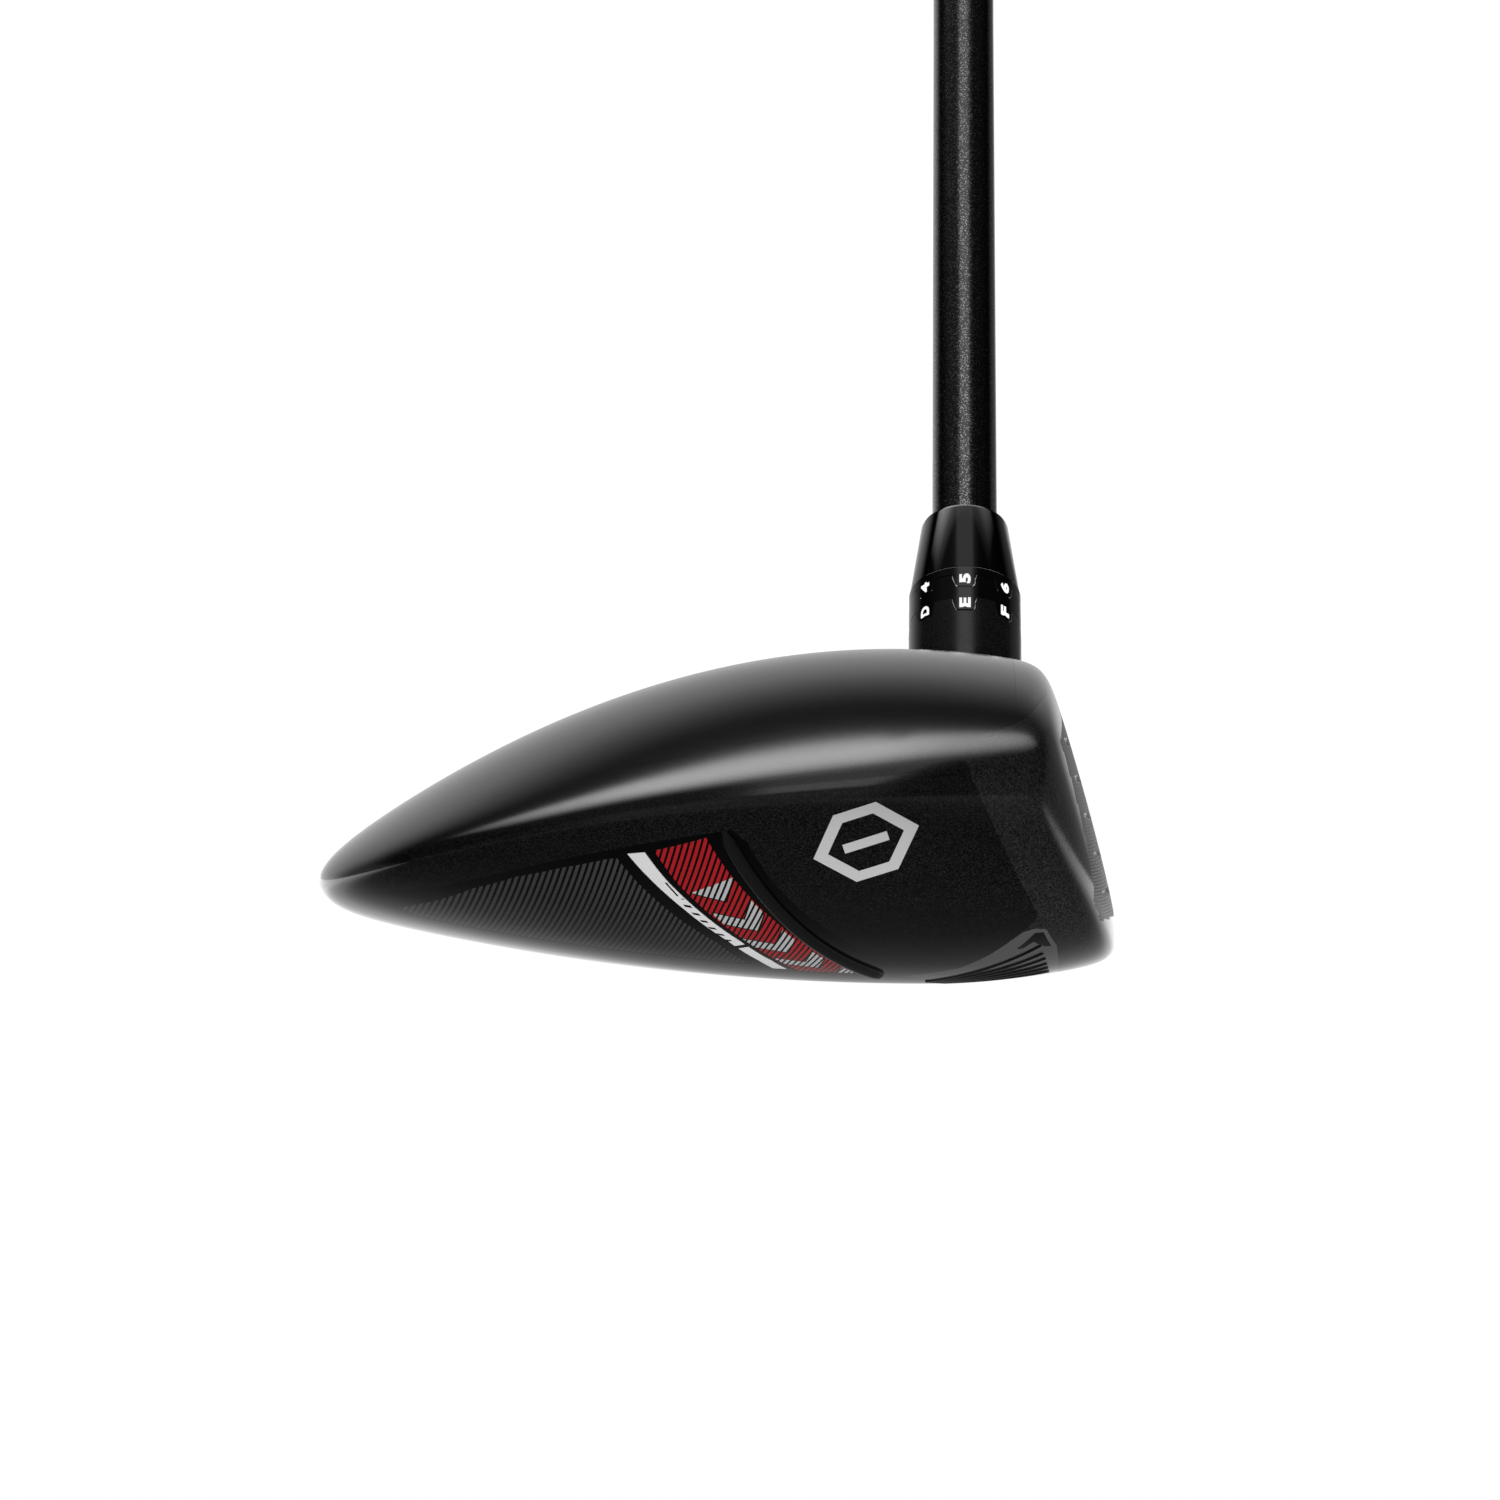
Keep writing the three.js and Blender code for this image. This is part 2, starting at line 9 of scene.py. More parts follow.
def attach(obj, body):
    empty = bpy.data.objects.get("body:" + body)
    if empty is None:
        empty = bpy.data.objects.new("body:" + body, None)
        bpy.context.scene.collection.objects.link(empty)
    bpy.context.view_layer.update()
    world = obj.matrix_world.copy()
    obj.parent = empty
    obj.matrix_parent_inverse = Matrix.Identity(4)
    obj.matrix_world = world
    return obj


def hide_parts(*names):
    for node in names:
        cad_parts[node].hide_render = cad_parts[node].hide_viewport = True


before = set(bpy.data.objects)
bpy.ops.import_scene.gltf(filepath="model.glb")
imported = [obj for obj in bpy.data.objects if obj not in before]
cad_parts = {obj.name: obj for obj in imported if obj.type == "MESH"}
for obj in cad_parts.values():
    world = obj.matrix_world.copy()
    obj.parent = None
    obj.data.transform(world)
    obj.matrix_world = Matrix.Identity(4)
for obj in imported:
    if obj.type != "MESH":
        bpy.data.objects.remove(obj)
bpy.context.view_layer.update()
MM = 0.001

# ---- camera ---------------------------------------------------------------------------------
# The club stands at address, seen from the toe with the lens level with the head. An 85 mm
# lens about 0.4 m away, turned a little toward the tail.
camera = bpy.data.objects.new("camera", bpy.data.cameras.new("camera"))
bpy.context.scene.collection.objects.link(camera)
bpy.context.scene.camera = camera
camera.data.lens = 85
camera.data.sensor_width = 36
camera.data.clip_start = 0.05
camera.data.clip_end = 40
camera.location = (0.0038, -0.40178, 0.026)
camera.rotation_euler = (math.radians(90), 0, math.radians(3.272))


# ---- studio floor and light -------------------------------------------------------------------
# A white sweep under and behind the club, a long soft box above the toe, and a dim room on the
# camera's side, so that the dark finishes show a bright rim and a soft band on the shoulder.
def linear(hex_colour):
    """An sRGB hex value as linear RGBA."""
    parts = [int(hex_colour[i : i + 2], 16) / 255 for i in (0, 2, 4)]
    return [c / 12.92 if c <= 0.04045 else ((c + 0.055) / 1.055) ** 2.4 for c in parts] + [1.0]


def add_node(tree, kind, settings=None, **inputs):
    """Adds a node. Settings are its properties, or the stops of a grey ramp as pairs of place
    and level; an input is a value or another node's socket."""
    node = tree.nodes.new(kind)
    for name, value in (settings or {}).items():
        if name != "stops":
            setattr(node, name, value)
            continue
        while len(node.color_ramp.elements) < len(value):
            node.color_ramp.elements.new(0.5)
        for stop, (place, level) in zip(node.color_ramp.elements, value):
            stop.position = place
            stop.color = (level, level, level, 1)
    for name, value in inputs.items():
        key = int(name[1:]) if name[0] == "i" and name[1:].isdigit() else name.replace("_", " ")
        if isinstance(value, bpy.types.NodeSocket):
            tree.links.new(value, node.inputs[key])
        else:
            node.inputs[key].default_value = value
    return node


world = bpy.data.worlds.new("studio")
bpy.context.scene.world = world
world.use_nodes = True
sky = world.node_tree
sky.nodes.clear()
way = add_node(sky, "ShaderNodeSeparateXYZ", Vector=add_node(sky, "ShaderNodeTexCoord").outputs["Generated"])
toward = add_node(sky, "ShaderNodeMath", {"operation": "MULTIPLY"}, i0=way.outputs["Y"], i1=-1)
climb = add_node(sky, "ShaderNodeMath", {"operation": "ARCTAN2"}, i0=way.outputs["Z"], i1=toward.outputs[0])
turn = add_node(sky, "ShaderNodeMath", {"operation": "DIVIDE"}, i0=climb.outputs[0], i1=math.pi)

# How bright the room is, by degrees from the toe-side horizon (0) over the top (90) to the far
# horizon (180), and from the tail's side (0) to the face's side (1).
ROOM_LIGHT = ((0, 0.18), (30, 0.26), (45, 0.22), (60, 0.1), (95, 0.06), (124, 0.0), (138, 0.0), (142, 0.12),
              (146, 0.24), (152, 0.44), (163, 0.55), (174, 0.65), (180, 0.9))
ROOM_SIDES = ((0, 0.3), (0.1, 0.3), (0.2, 1), (0.62, 1), (0.72, 0.25), (1, 0.2))
# The long box gives the soft band on the shoulder, the tall one the band down hosel and shaft.
LONG_BOX = {"rise": ((97, 0), (104, 0.2), (110, 0.65), (116, 1), (121, 1), (125.5, 0.7), (128, 0.06),
                     (130, 0)),
            "sides": ((0.17, 0), (0.25, 0.5), (0.33, 0.9), (0.5, 0.9), (0.56, 0.6), (0.66, 0.42), (0.8, 0)),
            "power": 4.8}
TALL_BOX = {"rise": ((45, 0), (56, 1), (74, 0.95), (80, 0.5), (99, 0.42), (104, 0)),
            "sides": ((0.32, 0), (0.37, 0.15), (0.41, 1), (0.59, 1), (0.63, 0.15), (0.68, 0)),
            "power": 1.15}
ROOM = {"rise": ROOM_LIGHT, "sides": ROOM_SIDES, "power": 1}
sideways = add_node(sky, "ShaderNodeMapRange", Value=way.outputs["X"], From_Min=-1, From_Max=1)
total = None
for light in (ROOM, LONG_BOX, TALL_BOX):
    rise = [(degrees / 180, level) for degrees, level in light["rise"]]
    up = add_node(sky, "ShaderNodeValToRGB", {"stops": rise}, Fac=turn.outputs[0])
    wide = add_node(sky, "ShaderNodeValToRGB", {"stops": light["sides"]}, Fac=sideways.outputs["Result"])
    box = add_node(sky, "ShaderNodeVectorMath", {"operation": "MULTIPLY"}, i0=up.outputs[0],
                   i1=wide.outputs[0])
    glare = add_node(sky, "ShaderNodeVectorMath", {"operation": "SCALE"}, i0=box.outputs[0],
                     Scale=light["power"])
    if total:
        glare = add_node(sky, "ShaderNodeVectorMath", {"operation": "ADD"}, i0=total, i1=glare.outputs[0])
    total = glare.outputs[0]
# Looked at directly, the backdrop is plain white.
BACKDROP_LEVEL = 1.05
seen = add_node(sky, "ShaderNodeLightPath")
glow = add_node(sky, "ShaderNodeBackground", Color=total, Strength=1)
backdrop = add_node(sky, "ShaderNodeBackground", Color=(1, 1, 1, 1), Strength=BACKDROP_LEVEL)
either = add_node(sky, "ShaderNodeMixShader", Fac=seen.outputs["Is Camera Ray"],
                  i1=glow.outputs["Background"], i2=backdrop.outputs["Background"])
add_node(sky, "ShaderNodeOutputWorld", Surface=either.outputs["Shader"])
bpy.context.scene.view_settings.view_transform = "Standard"

FLOOR_HALF = 6.0
bm = bmesh.new()
bmesh.ops.create_grid(bm, x_segments=1, y_segments=1, size=FLOOR_HALF)
floor_mesh = bpy.data.meshes.new("studio_floor")
bm.to_mesh(floor_mesh)
bm.free()
floor = bpy.data.objects.new("studio_floor", floor_mesh)
bpy.context.scene.collection.objects.link(floor)
paper = bpy.data.materials.new("white paper sweep")
paper.use_nodes = True
tree = paper.node_tree
tree.nodes.clear()
# White paper under and behind the head. In front of it lies black cloth, which shows only in
# reflections: looked at directly, and for diffuse light, the floor is plain white.
spot = add_node(tree, "ShaderNodeSeparateXYZ", Vector=add_node(tree, "ShaderNodeTexCoord").outputs["Object"])
# Brightness by Y in mm, from the camera's side to the heel's side.
FLOOR_LIGHT = ((-200, 0.22), (-90, 0.08), (-60, 0.04), (-40, 0.05), (-28, 0.07), (-20, 0.15), (-12, 0.36),
               (-2, 0.8), (10, 1.0), (40, 1.5))
FLOOR_NEAR, FLOOR_FAR = -200, 100
reach = add_node(tree, "ShaderNodeMapRange", Value=spot.outputs["Y"], From_Min=FLOOR_NEAR * MM,
                 From_Max=FLOOR_FAR * MM)
floor_stops = [((y - FLOOR_NEAR) / (FLOOR_FAR - FLOOR_NEAR), level) for y, level in FLOOR_LIGHT]
cloth = add_node(tree, "ShaderNodeValToRGB", {"stops": floor_stops}, Fac=reach.outputs["Result"])
seen = add_node(tree, "ShaderNodeLightPath")
plain = add_node(tree, "ShaderNodeMath", {"operation": "MAXIMUM"}, i0=seen.outputs["Is Camera Ray"],
                 i1=seen.outputs["Is Diffuse Ray"])
shine = add_node(tree, "ShaderNodeMix", {"data_type": "RGBA"}, Factor=plain.outputs[0])
tree.links.new(cloth.outputs["Color"], shine.inputs[6])
shine.inputs[7].default_value = (1.0, 1.0, 1.0, 1)
lit = add_node(tree, "ShaderNodeEmission", Color=shine.outputs[2], Strength=1)
add_node(tree, "ShaderNodeOutputMaterial", Surface=lit.outputs["Emission"])
floor_mesh.materials.append(paper)


# ---- the head's skin -------------------------------------------------------------------------
# The hollow head is a steel casting, with a lofted, bulged face, a low dome for a crown, a
# rounded sole and a skirt, all blended into one skin that the single pieces are cut from.
LIE = math.radians(58)
LOFT = math.radians(15)
AXIS_FOOT = np.array([5.4, 31.0, 0.0])
CROWN = {"top": 37.5, "x": -3.2, "y": 2.0, "curve": 0.0057, "blend": 1.0, "wall": 1.2}
SOLE = {"dip": 0.12, "rear": 0.0018, "front": 0.0056, "rise": 16.5, "toe": 46, "heel": 54,
        "power": 2.6, "blend": 2.2, "wall": 2.0}
FACE = {"x": 22.6, "z": 6, "mid": 18, "bulge": 290, "roll": 300, "blend": 1.1, "wall": 2.4}
PLAN = {"x": -19.5, "rear": 49.4, "front": 49.5, "toe": 50.5, "heel": 53, "power": 2.1,
        "blend": 2.6, "wall": 1.6}
CORE = np.array([-12.0, 0.0, 19.0])
HOSEL = {"radius": 7.25, "top": 49.05, "bore": 6.1, "floor": 17, "port": 5.6}


def skin_depth(p, shell=0.0, even=0.0):
    """Positive inside the head, 0 on its surface, for points in mm. Shell and even inset it."""
    x, y, z = p[..., 0], p[..., 1], p[..., 2]
    dx, dy = x - CROWN["x"], y - CROWN["y"]
    crown = (CROWN["top"] - CROWN["curve"] * (dx**2 + dy**2) - z) / np.hypot(
        1, 2 * CROWN["curve"] * np.hypot(dx, dy))
    bend = np.where(x < 0, SOLE["rear"], SOLE["front"])
    half = np.where(y < 0, SOLE["toe"], SOLE["heel"])
    across = np.abs(y) / half
    sole_z = bend * x**2 + SOLE["rise"] * across ** SOLE["power"] - SOLE["dip"]
    slope = SOLE["rise"] * SOLE["power"] / half * across ** (SOLE["power"] - 1)
    sole = (z - sole_z) / np.sqrt(1 + (2 * bend * x) ** 2 + slope**2)
    face_x = (FACE["x"] - (z - FACE["z"]) * math.tan(LOFT) - y**2 / (2 * FACE["bulge"])
              - (z - FACE["mid"]) ** 2 / (2 * FACE["roll"]))
    face = (face_x - x) * math.cos(LOFT)
    long = np.where(x < PLAN["x"], PLAN["rear"], PLAN["front"])
    wide = np.where(y < 0, PLAN["toe"], PLAN["heel"])
    u = np.abs(x - PLAN["x"]) / long + 1e-9
    v = np.abs(y) / wide + 1e-9
    n = PLAN["power"]
    reach = (u**n + v**n) ** (1 / n)
    steep = np.hypot(u ** (n - 1) / long, v ** (n - 1) / wide)
    side = (1 - reach) / (steep * reach ** (1 - n))
    total = 0
    for depth, part in ((crown, CROWN), (sole, SOLE), (face, FACE), (side, PLAN)):
        total = total + np.exp(np.clip((shell * part["wall"] + even - depth) / part["blend"], -60, 60))
    return -np.log(total)


def reach_skin(start, way, far, shell=0.0, even=0.0):
    """The points where rays in mm leave the head."""
    near, far = np.zeros(way.shape[:-1]), np.full(way.shape[:-1], float(far))
    for _ in range(34):
        middle = (near + far) / 2
        inside = skin_depth(start + way * middle[..., None], shell, even) > 0
        near, far = np.where(inside, middle, near), np.where(inside, far, middle)
    return start + way * near[..., None]


def sole_point(x, y):
    """The point of the sole straight below a plan point, in mm."""
    return reach_skin(np.array([x, y, 20.0]), np.array([0.0, 0.0, -1.0]), 30)


def head_skin(cuts, shell=0.0, even=0.0):
    """A closed mesh of the head's surface, in metres."""
    bm = bmesh.new()
    bmesh.ops.create_cube(bm, size=2)
    bmesh.ops.subdivide_edges(bm, edges=bm.edges[:], cuts=cuts, use_grid_fill=True)
    grid = np.array([v.co[:] for v in bm.verts])
    way = np.tan(grid * math.pi / 4)
    way = way / np.linalg.norm(way, axis=1, keepdims=True) * [50, 50, 18]
    way = way / np.linalg.norm(way, axis=1, keepdims=True)
    for v, co in zip(bm.verts, reach_skin(CORE, way, 130, shell, even) * MM):
        v.co = co
    bmesh.ops.recalc_face_normals(bm, faces=bm.faces[:])
    return bm


def shown(name, bm, material=None, smooth=True, crease=32):
    """A finished piece from a bmesh, with edges sharper than `crease` degrees left sharp."""
    mesh = bpy.data.meshes.new(name)
    for face in bm.faces:
        face.smooth = smooth
    for edge in bm.edges:
        if len(edge.link_faces) == 2 and edge.calc_face_angle(0) > math.radians(crease):
            edge.smooth = False
    bm.to_mesh(mesh)
    bm.free()
    piece = bpy.data.objects.new(name, mesh)
    bpy.context.scene.collection.objects.link(piece)
    if material:
        mesh.materials.append(material)
    return piece


def joined(first, second, operation):
    """The boolean of two closed bmeshes. Both are used up."""
    pair = []
    for bm in (first, second):
        mesh = bpy.data.meshes.new("cut")
        bm.to_mesh(mesh)
        bm.free()
        block = bpy.data.objects.new("cut", mesh)
        bpy.context.scene.collection.objects.link(block)
        pair.append(block)
    cutter = pair[0].modifiers.new("cut", "BOOLEAN")
    cutter.solver = "MANIFOLD"
    cutter.operation = operation
    cutter.object = pair[1]
    shape = pair[0].evaluated_get(bpy.context.evaluated_depsgraph_get())
    bm = bmesh.new()
    bm.from_mesh(shape.to_mesh())
    shape.to_mesh_clear()
    for block in pair:
        mesh = block.data
        bpy.data.objects.remove(block)
        bpy.data.meshes.remove(mesh)
    return bm


def prism(points, bottom, top, side=False):
    """A closed prism over an outline in mm: upright over X and Y, or along Y over X and Z."""
    bm = bmesh.new()
    if side:
        corners = [bm.verts.new((x * MM, top * MM, z * MM)) for x, z in points]
        drop = Vector((0, (bottom - top) * MM, 0))
    else:
        corners = [bm.verts.new((x * MM, y * MM, top * MM)) for x, y in points]
        drop = Vector((0, 0, (bottom - top) * MM))
    face = bm.faces.new(corners)
    cap = bmesh.ops.extrude_face_region(bm, geom=[face])
    moved = [v for v in cap["geom"] if isinstance(v, bmesh.types.BMVert)]
    bmesh.ops.translate(bm, verts=moved, vec=drop)
    bmesh.ops.recalc_face_normals(bm, faces=bm.faces[:])
    return bm


SKIN_CUTS, INSIDE_CUTS = 120, 36
skin = head_skin(SKIN_CUTS)
shell = joined(skin.copy(), head_skin(INSIDE_CUTS, shell=1), "DIFFERENCE")


# ---- crown shell ---------------------------------------------------------------------------------
# A thin moulded composite dome, bonded on a ledge round the top of the body casting. The joint is
# filled and painted over, so the satin paint runs on from the casting.
def finish(name, colour, roughness, metallic=0.0, **sockets):
    """A node material and its shader, ready for texture nodes."""
    material = bpy.data.materials.new(name)
    material.use_nodes = True
    shader = material.node_tree.nodes["Principled BSDF"]
    shader.inputs["Base Color"].default_value = linear(colour)
    shader.inputs["Roughness"].default_value = roughness
    shader.inputs["Metallic"].default_value = metallic
    for socket, value in sockets.items():
        shader.inputs[socket.replace("_", " ")].default_value = value
    return material, shader


def flecks(material, shader, dark, light, grain, smooth, rough, relief=0.05):
    """Metal flake in satin paint: grains of `grain` mm, some lighter and a little shinier."""
    tree = material.node_tree
    place = add_node(tree, "ShaderNodeTexCoord").outputs["Object"]
    cells = add_node(tree, "ShaderNodeTexVoronoi", Vector=place, Scale=1 / (grain * MM))
    cloud = add_node(tree, "ShaderNodeTexNoise", Vector=place, Scale=1 / (grain * 2.2 * MM), Detail=3)
    chance = add_node(tree, "ShaderNodeSeparateColor", Color=cells.outputs["Color"])
    bright = add_node(tree, "ShaderNodeMath", {"operation": "MULTIPLY"},
                      i0=chance.outputs["Red"], i1=cloud.outputs["Fac"])
    tone = add_node(tree, "ShaderNodeMapRange", Value=bright.outputs[0], From_Min=0.05, From_Max=0.6)
    mixed = add_node(tree, "ShaderNodeMix", {"data_type": "RGBA"}, Factor=tone.outputs["Result"])
    mixed.inputs[6].default_value = linear(dark)
    mixed.inputs[7].default_value = linear(light)
    tree.links.new(mixed.outputs[2], shader.inputs["Base Color"])
    shade = add_node(tree, "ShaderNodeMapRange", Value=tone.outputs["Result"], To_Min=rough, To_Max=smooth)
    tree.links.new(shade.outputs["Result"], shader.inputs["Roughness"])
    bump = add_node(tree, "ShaderNodeBump", Height=cells.outputs["Distance"], Strength=relief,
                    Distance=grain * MM / 4)
    tree.links.new(bump.outputs["Normal"], shader.inputs["Normal"])


# Satin paint with aluminium flake of about 0.1 mm: dark face on, with a soft bright sheen at a
# glance. Real flake is finer, and is drawn as coarse as it needs to show.
SATIN = {"grain": 0.11, "smooth": 0.1, "rough": 0.15, "relief": 0.05}
crown_coat, crown_shader = finish("satin flake paint on moulded composite", "161617", 0.22)
flecks(crown_coat, crown_shader, "0b0b0c", "303032", **SATIN)


CROWN_EDGE = {"tail": 41.5, "front": 40, "toe": 39.5, "heel": 41, "cup": 10.5, "steps": 160}
CROWN_RIM = {"x": -61, "z": 14.4, "slope": 0.18}


def crown_outline(grow):
    """The crown's plan outline in mm: an oval cut straight in front, where the face cup begins."""
    steps = CROWN_EDGE["steps"]
    points = []
    for i in range(steps):
        c, s = math.cos(2 * math.pi * i / steps), math.sin(2 * math.pi * i / steps)
        long = (CROWN_EDGE["tail"] if c < 0 else CROWN_EDGE["front"]) + grow
        wide = (CROWN_EDGE["toe"] if s < 0 else CROWN_EDGE["heel"]) + grow
        r = (abs(c / long) ** PLAN["power"] + abs(s / wide) ** PLAN["power"]) ** (-1 / PLAN["power"])
        points.append((PLAN["x"] + r * c, r * s))
    front = CROWN_EDGE["cup"] + grow
    kept = [p for p in points if p[0] < front]
    cut = next(i for i, p in enumerate(points) if p[0] < front)
    side = abs(points[cut][1])
    return kept + [(front, -side), (front, side)]


def crown_region(grow):
    """The block that the crown fills: inside its outline and above its sloping rim."""
    rim = [(x, CROWN_RIM["z"] + CROWN_RIM["slope"] * (x - CROWN_RIM["x"])) for x in (-80, 40)]
    above = prism(rim + [(40, 80), (-80, 80)], -80, 80, side=True)
    return joined(prism(crown_outline(grow), 5, 70), above, "INTERSECT")


crown = shown("crown_dome", joined(shell.copy(), crown_region(0), "INTERSECT"), crown_coat)
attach(crown, "head")
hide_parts("crown_shell")


# ---- face cup ------------------------------------------------------------------------------------
# A forged steel cup: the lofted striking face, with a return over the crown edge, round the toe
# and under the sole, welded to the casting and painted a shade lighter. The face itself is milled.
def cup_region():
    """The block that the face cup fills: its edge on the toe, straight at the heel, swept back below."""
    toe_side = [(40, 50), (14, 50), (14, 32), (11.5, 29.3), (9.5, 28.4), (7, 27.6), (5.7, 27), (5.1, 26.2),
                (5.1, 25), (5.8, 23), (8.6, 17), (10.4, 13.2), (12.1, 10), (12.5, 9.1), (12.45, 8.3),
                (12.2, 7.9), (40, 7.9)]
    heel_side = [(40, 50), (14, 50), (14, 8), (40, 8)]
    under = [(12.2, -60), (12.2, -33.4), (11.5, -32.1), (9.8, -30.1), (7.7, -27), (4.6, -23), (-1.3, -19.3),
             (6, -12), (6, 10), (12.5, 24), (12.5, 60), (40, 60), (40, -60)]
    sides = joined(prism(toe_side, -60, 0, side=True), prism(heel_side, -0.01, 60, side=True), "UNION")
    return joined(sides, prism(under, -5, 8), "UNION")


def swept(points, radius, sides=12):
    """A closed round bar through points in mm, made by extruding a circle from point to point."""
    path = [Vector(p) * MM for p in points]
    bm = bmesh.new()
    edges = None
    for i, here in enumerate(path):
        way = (path[min(i + 1, len(path) - 1)] - path[max(i - 1, 0)]).normalized()
        across = way.cross(Vector((0, 0, 1))).normalized()
        up = across.cross(way)
        size = radius(i / (len(path) - 1)) * MM if callable(radius) else radius * MM
        if edges is None:
            ring = bmesh.ops.create_circle(bm, cap_ends=True, segments=sides, radius=1)["verts"]
            edges = list({e for v in ring for e in v.link_edges})
            flat = [v.co.copy() for v in ring]
        else:
            new = bmesh.ops.extrude_edge_only(bm, edges=edges)["geom"]
            grown_ring = [g for g in new if isinstance(g, bmesh.types.BMVert)]
            edges = [g for g in new if isinstance(g, bmesh.types.BMEdge)
                     and g.verts[0] in grown_ring and g.verts[1] in grown_ring]
            order = [min(range(len(ring)), key=lambda k: (v.co - ring[k].co).length) for v in grown_ring]
            flat = [flat[k] for k in order]
            ring = grown_ring
        for v, unit in zip(ring, flat):
            v.co = here + (across * unit.x + up * unit.y) * size
    bmesh.ops.contextual_create(bm, geom=edges)
    bmesh.ops.recalc_face_normals(bm, faces=bm.faces[:])
    return bm


# The same satin paint over forged steel, a shade lighter than the body, so the cup's edge shows.
cup_coat, cup_shader = finish("satin flake paint on forged steel", "2a2a2b", 0.2)
flecks(cup_coat, cup_shader, "1c1c1d", "464648", **SATIN)
# Milled maraging steel under thin satin paint: dull grey, with level cutter marks 0.35 mm apart.
MILLING = 0.35
face_metal, face_shader = finish("milled steel face under thin paint", "303032", 0.4, 0.3)
tree = face_metal.node_tree
place = add_node(tree, "ShaderNodeTexCoord").outputs["Object"]
marks = add_node(tree, "ShaderNodeTexWave", {"bands_direction": "Z"}, Vector=place,
                 Scale=2 * math.pi / 20 / (MILLING * MM), Distortion=0.4, Detail=1)
bump = add_node(tree, "ShaderNodeBump", Height=marks.outputs["Fac"], Strength=0.25, Distance=0.03 * MM)
tree.links.new(bump.outputs["Normal"], face_shader.inputs["Normal"])

SCORE_HEIGHTS = (26.9, 22.9, 18.9, 14.8, 10.7)
SCORE_RADIUS = 0.42
SCORE_INSIDE, SCORE_OUTSIDE = 9, 27
FORWARD = np.array([1.0, 0, 0])
cup_bm = joined(shell.copy(), cup_region(), "INTERSECT")
for height in SCORE_HEIGHTS:
    outside = SCORE_OUTSIDE - 0.25 * abs(height - FACE["mid"])
    for side in (-1, 1):
        line = [tuple(reach_skin(np.array([0.0, side * y, height]), FORWARD, 40))
                for y in np.linspace(SCORE_INSIDE, outside, 10)]
        cup_bm = joined(cup_bm, swept(line, SCORE_RADIUS, 10), "DIFFERENCE")

def mirrored(points):
    """A toe-side plan outline turned into the heel-side one."""
    return [(x, -y) for x, y in reversed(points)]


FRONT_GLOSS_TOP = 7.9
FRONT_GLOSS = [(-4, -16), (-1.3, -19.3), (4.6, -23), (7.7, -27), (9.8, -30.1), (10.9, -31.6), (12.4, -31.9),
               (13.6, -31.2), (14.8, -26.9), (15.2, -20), (15.4, -12), (15.5, 0)]
# A dark sunk notch in the lacquered wedge of the sole, just behind the leading edge. It is drawn as a thin
# patch, not sunk, and its darkness is painted shade.
NOTCH = [(10.6, -27.9), (12.4, -31.0), (13.3, -30.8), (14.2, -27.2), (13.4, -27.6), (12.3, -29.2),
         (11.2, -27.9)]
front_wedge = prism(FRONT_GLOSS + mirrored(FRONT_GLOSS), -5, FRONT_GLOSS_TOP)
front_bm = joined(cup_bm.copy(), front_wedge.copy(), "INTERSECT")
cup_bm = joined(cup_bm, front_wedge, "DIFFERENCE")
cup = shown("forged_face_cup", cup_bm, cup_coat)
cup.data.materials.append(face_metal)
# Enamel wiped into the score lines: flat pale grey, broken by fine specks of wear 0.15 mm across.
score_paint, score_shader = finish("pale enamel in the score lines", "c8c8c8", 0.6)
tree = score_paint.node_tree
worn = add_node(tree, "ShaderNodeTexNoise", Scale=1 / (0.15 * MM),
                Vector=add_node(tree, "ShaderNodeTexCoord").outputs["Object"])
dull = add_node(tree, "ShaderNodeMapRange", Value=worn.outputs["Fac"], To_Min=0.45, To_Max=0.7)
tree.links.new(dull.outputs["Result"], score_shader.inputs["Roughness"])
cup.data.materials.append(score_paint)
for polygon in cup.data.polygons:
    x, y, z = polygon.center / MM
    on_face = 8 < z < 30.5 - 0.004 * y**2 and abs(y) < 30
    if on_face and x > 12 and 0.03 < skin_depth(np.array([x, y, z])) < 1:
        polygon.material_index = 2
    elif polygon.normal.x > 0.92 and on_face:
        polygon.material_index = 1
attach(cup, "head")
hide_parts("face_cup")


def lacquer(name, colour="060607"):
    """Gloss lacquer: mirror smooth, with only the faintest orange peel, about 2 mm across."""
    material, shader = finish(name, colour, 0.07)
    tree = material.node_tree
    peel = add_node(tree, "ShaderNodeTexNoise", Vector=add_node(tree, "ShaderNodeTexCoord").outputs["Object"],
                    Scale=1 / (2 * MM), Detail=1)
    bump = add_node(tree, "ShaderNodeBump", Height=peel.outputs["Fac"], Strength=0.04, Distance=0.05 * MM)
    tree.links.new(bump.outputs["Normal"], shader.inputs["Normal"])
    return material, shader


# Gloss black lacquer on the sole: a clear dark mirror of the floor.
gloss_coat = lacquer("gloss black lacquer")[0]
# The wedge behind the leading edge is lacquered mid grey, a painted reflection of the pale floor on what is
# gloss black lacquer, so that the black ridges stand out.
front_coat_painted_reflection = lacquer("gloss lacquer, grey as painted floor reflection", "5e5e60")[0]
front_gloss = shown("front_sole_lacquer", front_bm, front_coat_painted_reflection)
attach(front_gloss, "head")

# Near-black lacquer on the notch patches, darker than all round it: painted shade of the sunk notches.
notch_painted_shade = lacquer("near-black lacquer as painted notch shade", "010101")[0]
for side, name in ((1, "toe"), (-1, "heel")):
    points = NOTCH if side == 1 else mirrored(NOTCH)
    patch = joined(head_skin(60, even=-0.05), prism(points, -5, FRONT_GLOSS_TOP), "INTERSECT")
    patch = joined(patch, head_skin(60, even=0.5), "DIFFERENCE")
    notch = shown(name + "_front_notch", patch, notch_painted_shade)
    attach(notch, "head")

